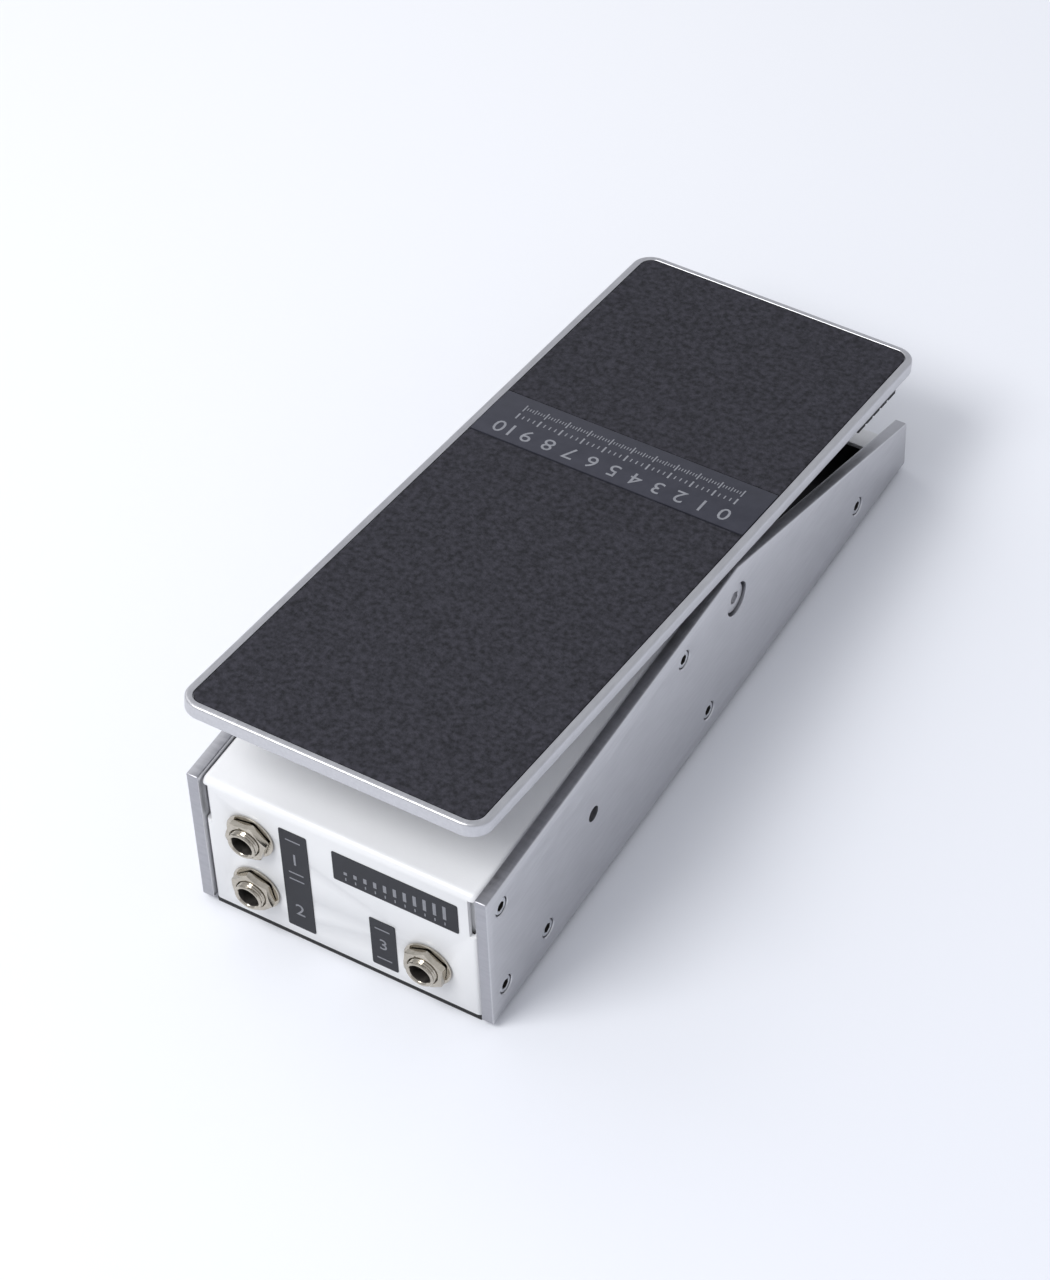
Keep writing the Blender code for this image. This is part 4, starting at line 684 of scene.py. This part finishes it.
def rear_cover():
    """Heel wall with its lip, and the side flanges that carry it."""
    peak_y, peak_z = PLATE_OUTLINE[2]
    end_y, end_z = PLATE_OUTLINE[3]
    slope = math.atan2(peak_z - end_z, end_y - peak_y)

    def slope_height(y, drop):
        return peak_z - (y - peak_y) * math.tan(slope) - drop / math.cos(slope)

    def slope_place(z, drop):
        return peak_y + (peak_z - drop / math.cos(slope) - z) / math.tan(slope)

    corner = (REAR_END, slope_height(REAR_END, REAR_DROP))
    fold = [(corner[0], corner[1] - REAR_FOLD),
            (corner[0] - REAR_FOLD_BULGE, corner[1] - REAR_FOLD / 2),
            (corner[0] - REAR_FOLD / 2, corner[1] + REAR_FOLD_BULGE),
            (corner[0] - REAR_FOLD, slope_height(corner[0] - REAR_FOLD, REAR_DROP))]
    outer = ([(REAR_START, COVER_LOW), (REAR_END, COVER_LOW)] + fold
             + [(slope_place(REAR_FLANGE_HEIGHT, REAR_DROP), REAR_FLANGE_HEIGHT),
                (REAR_START, REAR_FLANGE_HEIGHT)])
    start = REAR_START - OPEN_SIDE
    end = REAR_END - SHEET
    low = COVER_LOW - OPEN_SIDE
    inner = [(start, low), (end, low), (end, slope_height(end, REAR_DROP + SHEET)),
             (start, slope_height(start, REAR_DROP + SHEET))]
    cover = moved(prism(outer, -COVER_HALF, COVER_HALF), ALONG_X)
    cover = combined(cover, moved(prism(inner, -FLANGE_FACE, FLANGE_FACE), ALONG_X))
    cover = combined(cover, box((-FLANGE_FACE, start, low), (FLANGE_FACE, REAR_LIP_START, CUT_TOP)))
    across, along = REAR_NOTCH
    notches = []
    for side in (-1, 1):
        left, right = sorted((side * (COVER_HALF + BEYOND), side * (FLANGE_FACE - across + SHEET)))
        notches.append(box((left, REAR_END - along, corner[1] - REAR_NOTCH_DROP),
                           (right, REAR_END + BEYOND, CUT_TOP)))
    cover = combined(cover, joined(notches))
    cover = combined(cover, flange_tool(REAR_SCREWS))
    cover = rounded_edges(cover, SHEET_EDGE)
    piece("rear_cover_dressed", cover, CHASSIS, SLOTS["white_paint"], "chassis", "rear_cover")


def notch_tabs():
    """Turned-in tabs of the side flanges, seen through the panel's corner notches."""
    for name, side in (("left", -1), ("right", 1)):
        low, high = sorted((side * (FLANGE_FACE - TAB_REACH), side * (FLANGE_FACE - TAB_SEAT)))
        front = PANEL_FRONT + SHEET + TAB_BACK
        tab = box((low, front, NOTCH_LOW - TAB_BELOW),
                  (high, front + TAB_THICKNESS, NOTCH_HIGH + TAB_ABOVE))
        piece(name + "_notch_tab", rounded_edges(tab, TAB_EDGE), CHASSIS, SLOTS["white_paint"],
              "chassis")


def foot_strips():
    """Rubber strips under the base plate, the toe one nearly flush with the panel so that its black front, real
    rubber, also stands for the shade in the gap under the panel.
    """
    for name, start, end in FOOT_STRIPS:
        strip = rounded_edges(box((-FOOT_HALF, start, FOOT_LOW), (FOOT_HALF, end, 0)), FOOT_EDGE, 3)
        piece(name + "_dressed", strip, CHASSIS, SLOTS["rubber"], "chassis", name)


# Jacks

def hex_nut(radius, bore, low, high):
    """A nut along Z with its corners turned down at both ends."""
    flat = radius * math.cos(30 * DEG)
    wide = radius + NUT_CONE
    blank = turned([(bore, high - NUT_BORE_CHAMFER), (bore + NUT_BORE_CHAMFER, high), (flat, high),
                    (wide, high - NUT_CHAMFER), (wide, low + NUT_CHAMFER / 2),
                    (flat + NUT_BACK_EDGE, low), (bore + NUT_BORE_CHAMFER, low),
                    (bore, low + NUT_BORE_CHAMFER)], ring=True)
    return combined(blank, prism(polygon(radius, 6), low - BEYOND, high + BEYOND), "INTERSECT")


def jack_hardware(name, x, z, turn):
    """A jack's threaded bushing with its flange and its socket painted dark as shade, its washer and its nut."""
    place = at(x, 0, z) @ ALONG_MINUS_Y @ Matrix.Rotation(turn * DEG, 4, "Z")
    flange_front = -(PANEL_FRONT + SHEET + GAP)
    flange_back = flange_front - JACK_FLANGE_THICKNESS
    tip = BUSHING_TIP
    threads = []
    for ridge in range(THREADS):
        crest = tip - FIRST_CREST - ridge * THREAD_PITCH
        threads += [(BUSHING_RADIUS, crest),
                    (BUSHING_RADIUS - THREAD_DEPTH, crest - THREAD_PITCH / 2)]
    profile = [(SOCKET_RADIUS + beyond, tip - drop) for beyond, drop in SOCKET_LIP]
    profile += [(BUSHING_RADIUS - inset, tip - drop) for inset, drop in TIP_EDGE]
    profile += threads
    profile += [(BUSHING_RADIUS, flange_front + THREAD_END), (BUSHING_RADIUS, flange_front),
                (JACK_FLANGE_RADIUS, flange_front), (JACK_FLANGE_RADIUS, flange_back),
                (SOCKET_RADIUS, flange_back)]
    bushing = piece(name + "_bushing_dressed", moved(turned(profile, ring=True), place), CHASSIS,
                    SLOTS["nickel"], "chassis", name + "_jack_bushing")
    # painted shade: the inside of the socket is painted dark
    darken_bore(bushing, place, SOCKET_RADIUS + PICK, tip)
    bore = BUSHING_RADIUS + GAP
    low = -PANEL_FRONT + GAP
    high = low + WASHER_THICKNESS
    washer = turned([(bore, high), (WASHER_RADIUS - WASHER_FRONT_EDGE, high),
                     (WASHER_RADIUS, high - WASHER_FRONT_EDGE),
                     (WASHER_RADIUS, low + WASHER_BACK_EDGE),
                     (WASHER_RADIUS - WASHER_BACK_EDGE, low), (bore, low)], ring=True)
    piece(name + "_washer_dressed", moved(washer, place), CHASSIS, SLOTS["nickel"], "chassis",
          name + "_jack_washer")
    nut = hex_nut(NUT_RADIUS, bore, high + GAP, high + GAP + NUT_THICKNESS)
    piece(name + "_nut_dressed", moved(nut, place), CHASSIS, SLOTS["nickel"], "chassis",
          name + "_jack_nut")


# Treadle and its pads

def treadle_ring(inset):
    return rounded_outline(HALF_WIDTH - inset, TREADLE_TOE + inset, TREADLE_HEEL - inset,
                           TREADLE_CORNER - inset, TREADLE_CORNER - inset)


def treadle_plate():
    """The plate with rounded edges and the shallow recess that holds the pads."""
    rings, heights = [], []
    for step in range(ROUND_STEPS + 1):
        angle = step / ROUND_STEPS * QUARTER_TURN
        rings.append(treadle_ring(TREADLE_ROUND * (1 - math.sin(angle))))
        heights.append(TREADLE_UNDER + TREADLE_ROUND * (1 - math.cos(angle)))
    for step in range(ROUND_STEPS + 1):
        angle = step / ROUND_STEPS * QUARTER_TURN
        rings.append(treadle_ring(TREADLE_ROUND * (1 - math.cos(angle))))
        heights.append(TREADLE_TOP - TREADLE_ROUND * (1 - math.sin(angle)))
    recess = rounded_outline(RECESS_HALF, RECESS_TOE, RECESS_HEEL, RECESS_CORNER, RECESS_CORNER)
    lip = rounded_outline(RECESS_HALF + RECESS_LIP, RECESS_TOE - RECESS_LIP, RECESS_HEEL + RECESS_LIP,
                          RECESS_CORNER + RECESS_LIP, RECESS_CORNER + RECESS_LIP)
    rings += [lip, recess, recess]
    heights += [TREADLE_TOP, TREADLE_TOP - RECESS_LIP, RECESS_FLOOR]
    plate = loft(rings, heights)
    for side in (-1, 1):
        hole = prism(polygon(YOKE_HOLE_RADIUS, SMALL_SIDES), TREADLE_UNDER - BEYOND,
                     TREADLE_UNDER + YOKE_HOLE_DEPTH)
        plate = combined(plate, moved(hole, at(side * YOKE_HOLE_X, 0, 0)))
    piece("treadle_plate_dressed", plate, TREADLE, SLOTS["satin_aluminium"], "treadle",
          "treadle_plate")


def rounded_corner(u, v):
    """A point of a unit square moved onto the quarter disc, its inner sides kept."""
    return u * math.sqrt(1 - v * v / 2), v * math.sqrt(1 - u * u / 2)


def grit(x, t, kind):
    """Height of the grit at a place, as a part of its full height."""
    cells, share, level = kind
    return share * noise.noise(Vector((x, t, level)) * cells)


def grip_pad(name, span, toe_corner, heel_corner):
    """A gritty pad: a fine grid with a grained top, rounded corners and a worn-down edge."""
    low, high = span
    columns = round(2 * PAD_HALF / PAD_STEP)
    rows = round((high - low) / PAD_STEP)
    points = []
    for row in range(rows + 1):
        for column in range(columns + 1):
            x = -PAD_HALF + 2 * PAD_HALF * column / columns
            t = low + (high - low) * row / rows
            corner, edge, end = (toe_corner, low, -1) if row < rows / 2 else (heel_corner, high, 1)
            depth_x = abs(x) - (PAD_HALF - corner)
            depth_t = end * (t - (edge - end * corner))
            if corner and depth_x > 0 and depth_t > 0:
                u, v = rounded_corner(depth_x / corner, depth_t / corner)
                x = math.copysign(PAD_HALF - corner + u * corner, x)
                t = edge - end * corner + end * v * corner
            on_edge = row in (0, rows) or column in (0, columns)
            relief = 0.5 - grit(x, t, FINE_GRIT) - grit(x, t, COARSE_GRIT)
            points.append((x, t, PAD_TOP - GRIT_HEIGHT * relief - PAD_EDGE_DROP * on_edge))
    width = columns + 1
    faces = [(row * width + column, row * width + column + 1, (row + 1) * width + column + 1,
              (row + 1) * width + column) for row in range(rows) for column in range(columns)]
    rim = list(range(width))
    rim += [row * width + columns for row in range(1, rows + 1)]
    rim += [rows * width + column for column in range(columns - 1, -1, -1)]
    rim += [row * width for row in range(rows - 1, 0, -1)]
    base = len(points)
    points += [(points[index][0], points[index][1], PAD_LOW) for index in rim]
    count = len(rim)
    faces += [(rim[step], base + step, base + (step + 1) % count, rim[(step + 1) % count])
              for step in range(count)]
    faces.append(tuple(base + step for step in range(count)))
    bm = bmesh.new()
    bm.from_mesh(mesh_from(points, faces))
    piece(name + "_dressed", mesh_of(bm), TREADLE, SLOTS["grit"], "treadle", name)


def centre_strip():
    strip = box((-PAD_HALF, STRIP[0], PAD_LOW), (PAD_HALF, STRIP[1], STRIP_TOP))
    piece("centre_strip_dressed", rounded_edges(strip, STRIP_EDGE), TREADLE, SLOTS["smooth_strip"],
          "treadle", "centre_strip")


def heel_bumper():
    """A rubber block with shallow grooves along its lower face."""
    bumper = box((-BUMPER_HALF, BUMPER[0], BUMPER_LOW), (BUMPER_HALF, BUMPER[1], BUMPER_TOP))
    half = BUMPER_HALF + BEYOND
    grooves = [box((-half, t, BUMPER_LOW - BEYOND), (half, t + GROOVE_WIDTH, BUMPER_LOW + GROOVE_DEPTH))
               for t in GROOVES]
    bumper = combined(bumper, joined(grooves))
    piece("heel_bumper_dressed", rounded_edges(bumper, BUMPER_EDGE), TREADLE, SLOTS["rubber"],
          "treadle", "heel_bumper")


# Printed marks

def figure(text, size):
    """Digits in (x, y), centred, as a thin body."""
    curve = bpy.data.curves.new("figure", "FONT")
    curve.body = text
    curve.size = size
    curve.extrude = MARK_HEIGHT / 2
    curve.resolution_u = 3
    curve.align_x = "CENTER"
    curve.align_y = "CENTER"
    holder = bpy.data.objects.new("figure", curve)
    bpy.context.scene.collection.objects.link(holder)
    bpy.context.view_layer.update()
    graph = bpy.context.evaluated_depsgraph_get()
    mesh = bpy.data.meshes.new_from_object(holder.evaluated_get(graph))
    bpy.data.objects.remove(holder)
    return mesh


def tick(x, y, width, length):
    half = MARK_HEIGHT / 2
    return box((x - width / 2, y - length / 2, -half), (x + width / 2, y + length / 2, half))


def strip_marks():
    """A scale from 0 to 10 with its ticks, read from the heel end."""
    turned_round = Matrix.Rotation(180 * DEG, 4, "Z")
    printed = at(0, 0, STRIP_TOP + MARK_HEIGHT / 2)
    marks = []
    for value in range(11):
        x = SCALE_START - SCALE_STEP * value
        marks.append(moved(figure(str(value), STRIP_DIGIT), printed @ at(x, DIGIT_ROW, 0) @ turned_round))
        marks.append(moved(tick(x, NEAR_ROW, *NEAR_TICK), printed))
        marks.append(moved(tick(x, FAR_ROW, *FAR_TICK), printed))
        if value < 10:
            for part in range(1, FAR_PARTS):
                size = FAR_HALF_TICK if part == FAR_PARTS / 2 else FAR_PART_TICK
                marks.append(moved(tick(x - SCALE_STEP / FAR_PARTS * part, FAR_ROW, *size), printed))
            for part in range(1, NEAR_PARTS):
                marks.append(moved(tick(x - SCALE_STEP / NEAR_PARTS * part, NEAR_ROW, *NEAR_PART_TICK),
                                   printed))
    piece("strip_marks", joined(marks), TREADLE, print_look, "treadle")


# Labels on the jack panel

def panel_place(x, z, proud):
    """From (x, y) drawing coordinates to the panel's face, x across and y up."""
    return at(x, PANEL_FRONT, z) @ ALONG_MINUS_Y @ at(0, 0, proud)


def label(name, left, right, low, high):
    half_height = (high - low) / 2
    outline = rounded_outline((right - left) / 2, -half_height, half_height, LABEL_CORNER,
                              LABEL_CORNER, LABEL_CORNER_STEPS)
    plate = rounded_edges(prism(outline, 0, LABEL_THICKNESS), LABEL_EDGE, 1)
    piece(name + "_label", plate, CHASSIS @ panel_place((left + right) / 2, (low + high) / 2, 0),
          label_look, "chassis")


def label_marks():
    """A digit beside each jack, short lines, and a row of growing bars."""
    level = LABEL_THICKNESS + MARK_HEIGHT / 2
    marks = [moved(figure(digit, size), panel_place(x, z, level)) for digit, size, x, z in LABEL_DIGITS]
    for step in range(METER_BARS):
        x = METER_START + METER_STEP * step
        height = BAR_FIRST + BAR_GROWTH * step
        bar = tick(x, METER_LOW + height / 2, BAR_WIDTH, height)
        marks.append(moved(bar, panel_place(0, METER_Z, level)))
        marks.append(moved(tick(x, METER_DOT_DROP, *METER_DOT), panel_place(0, METER_Z, level)))
    for x, z in LABEL_LINES:
        marks.append(moved(tick(0, 0, *LABEL_LINE), panel_place(x, z, level)))
    piece("label_marks", joined(marks), CHASSIS, print_look, "chassis")


side_plate("left_side_plate", -1)
side_plate("right_side_plate", 1)
side_fasteners("left", -1)
side_fasteners("right", 1)
front_cover()
notch_tabs()
foot_strips()
rear_cover()
for jack_name, jack_x, jack_z, nut_turn in JACKS:
    jack_hardware(jack_name, jack_x, jack_z, nut_turn)
treadle_plate()
grip_pad("toe_grip_pad", TOE_PAD, PAD_CORNER, 0)
grip_pad("heel_grip_pad", HEEL_PAD, 0, PAD_CORNER)
centre_strip()
strip_marks()
heel_bumper()
for label_name, label_box in LABELS.items():
    label(label_name, *label_box)
label_marks()


# Camera, floor and light

def camera():
    data = bpy.data.cameras.new("camera")
    data.sensor_width = SENSOR_WIDTH
    data.lens = CAMERA_LENS
    data.clip_end = CAMERA_FAR
    eye = bpy.data.objects.new("camera", data)
    bpy.context.scene.collection.objects.link(eye)
    back = Vector((math.sin(CAMERA_AZIMUTH) * math.cos(CAMERA_ELEVATION),
                   -math.cos(CAMERA_AZIMUTH) * math.cos(CAMERA_ELEVATION),
                   math.sin(CAMERA_ELEVATION)))
    right = Vector((0, 0, 1)).cross(back).normalized()
    up = back.cross(right)
    cosine, sine = math.cos(CAMERA_ROLL), math.sin(CAMERA_ROLL)
    axes = Matrix((cosine * right + sine * up, cosine * up - sine * right, back))
    matrix = axes.transposed().to_4x4()
    matrix.translation = CHASSIS @ Vector(CAMERA_PLACE)
    eye.matrix_world = matrix
    bpy.context.scene.camera = eye


def floor_look():
    """A pale bluish floor with painted shade, a little greyer towards +X as if less lit there, that throws less
    light up than it shows.
    """
    look = finish("floor", (0.93, 0.95, 0.99), (0.92, 0.94, 0.98), 3, (0.85, 0.95))
    nodes = look.node_tree.nodes
    link = look.node_tree.links.new
    place = nodes.new("ShaderNodeTexCoord")
    split = nodes.new("ShaderNodeSeparateXYZ")
    link(place.outputs["Object"], split.inputs["Vector"])
    across = nodes.new("ShaderNodeMapRange")
    across.inputs["From Min"].default_value = FLOOR_SHADE_SPAN[0]
    across.inputs["From Max"].default_value = FLOOR_SHADE_SPAN[1]
    link(split.outputs["X"], across.inputs["Value"])
    painted_falloff = nodes.new("ShaderNodeValToRGB")
    painted_falloff.color_ramp.elements[0].color = FLOOR_LIT_TONE
    painted_falloff.color_ramp.elements[1].color = FLOOR_SHADED_TONE
    link(across.outputs["Result"], painted_falloff.inputs["Fac"])
    path = nodes.new("ShaderNodeLightPath")
    thrown = nodes.new("ShaderNodeMixRGB")
    thrown.inputs["Color2"].default_value = FLOOR_THROWN
    link(path.outputs["Is Diffuse Ray"], thrown.inputs["Fac"])
    link(painted_falloff.outputs["Color"], thrown.inputs["Color1"])
    link(thrown.outputs["Color"], nodes["Principled BSDF"].inputs["Base Color"])
    return look


def floor():
    bm = bmesh.new()
    bmesh.ops.create_grid(bm, x_segments=1, y_segments=1, size=FLOOR_SIZE)
    mesh = bpy.data.meshes.new("floor")
    bm.to_mesh(mesh)
    plane = bpy.data.objects.new("floor", mesh)
    bpy.context.scene.collection.objects.link(plane)
    mesh.materials.append(floor_look())


def lamp(name, place, size, energy):
    """A rectangular lamp that faces the middle of the pedal's footprint."""
    data = bpy.data.lights.new(name, "AREA")
    data.shape = "RECTANGLE"
    data.size, data.size_y = size
    data.energy = energy
    light = bpy.data.objects.new(name, data)
    bpy.context.scene.collection.objects.link(light)
    light.location = place
    light.rotation_mode = "QUATERNION"
    light.rotation_quaternion = (-Vector(place)).to_track_quat("-Z", "Y")


def studio():
    world = bpy.data.worlds.new("studio")
    bpy.context.scene.world = world
    world.use_nodes = True
    world.node_tree.nodes["Background"].inputs["Color"].default_value = WORLD_COLOUR
    world.node_tree.nodes["Background"].inputs["Strength"].default_value = WORLD_STRENGTH
    for name, place, size, energy in LAMPS:
        lamp(name, place, size, energy)
    bpy.context.scene.view_settings.view_transform = "Standard"


camera()
floor()
studio()
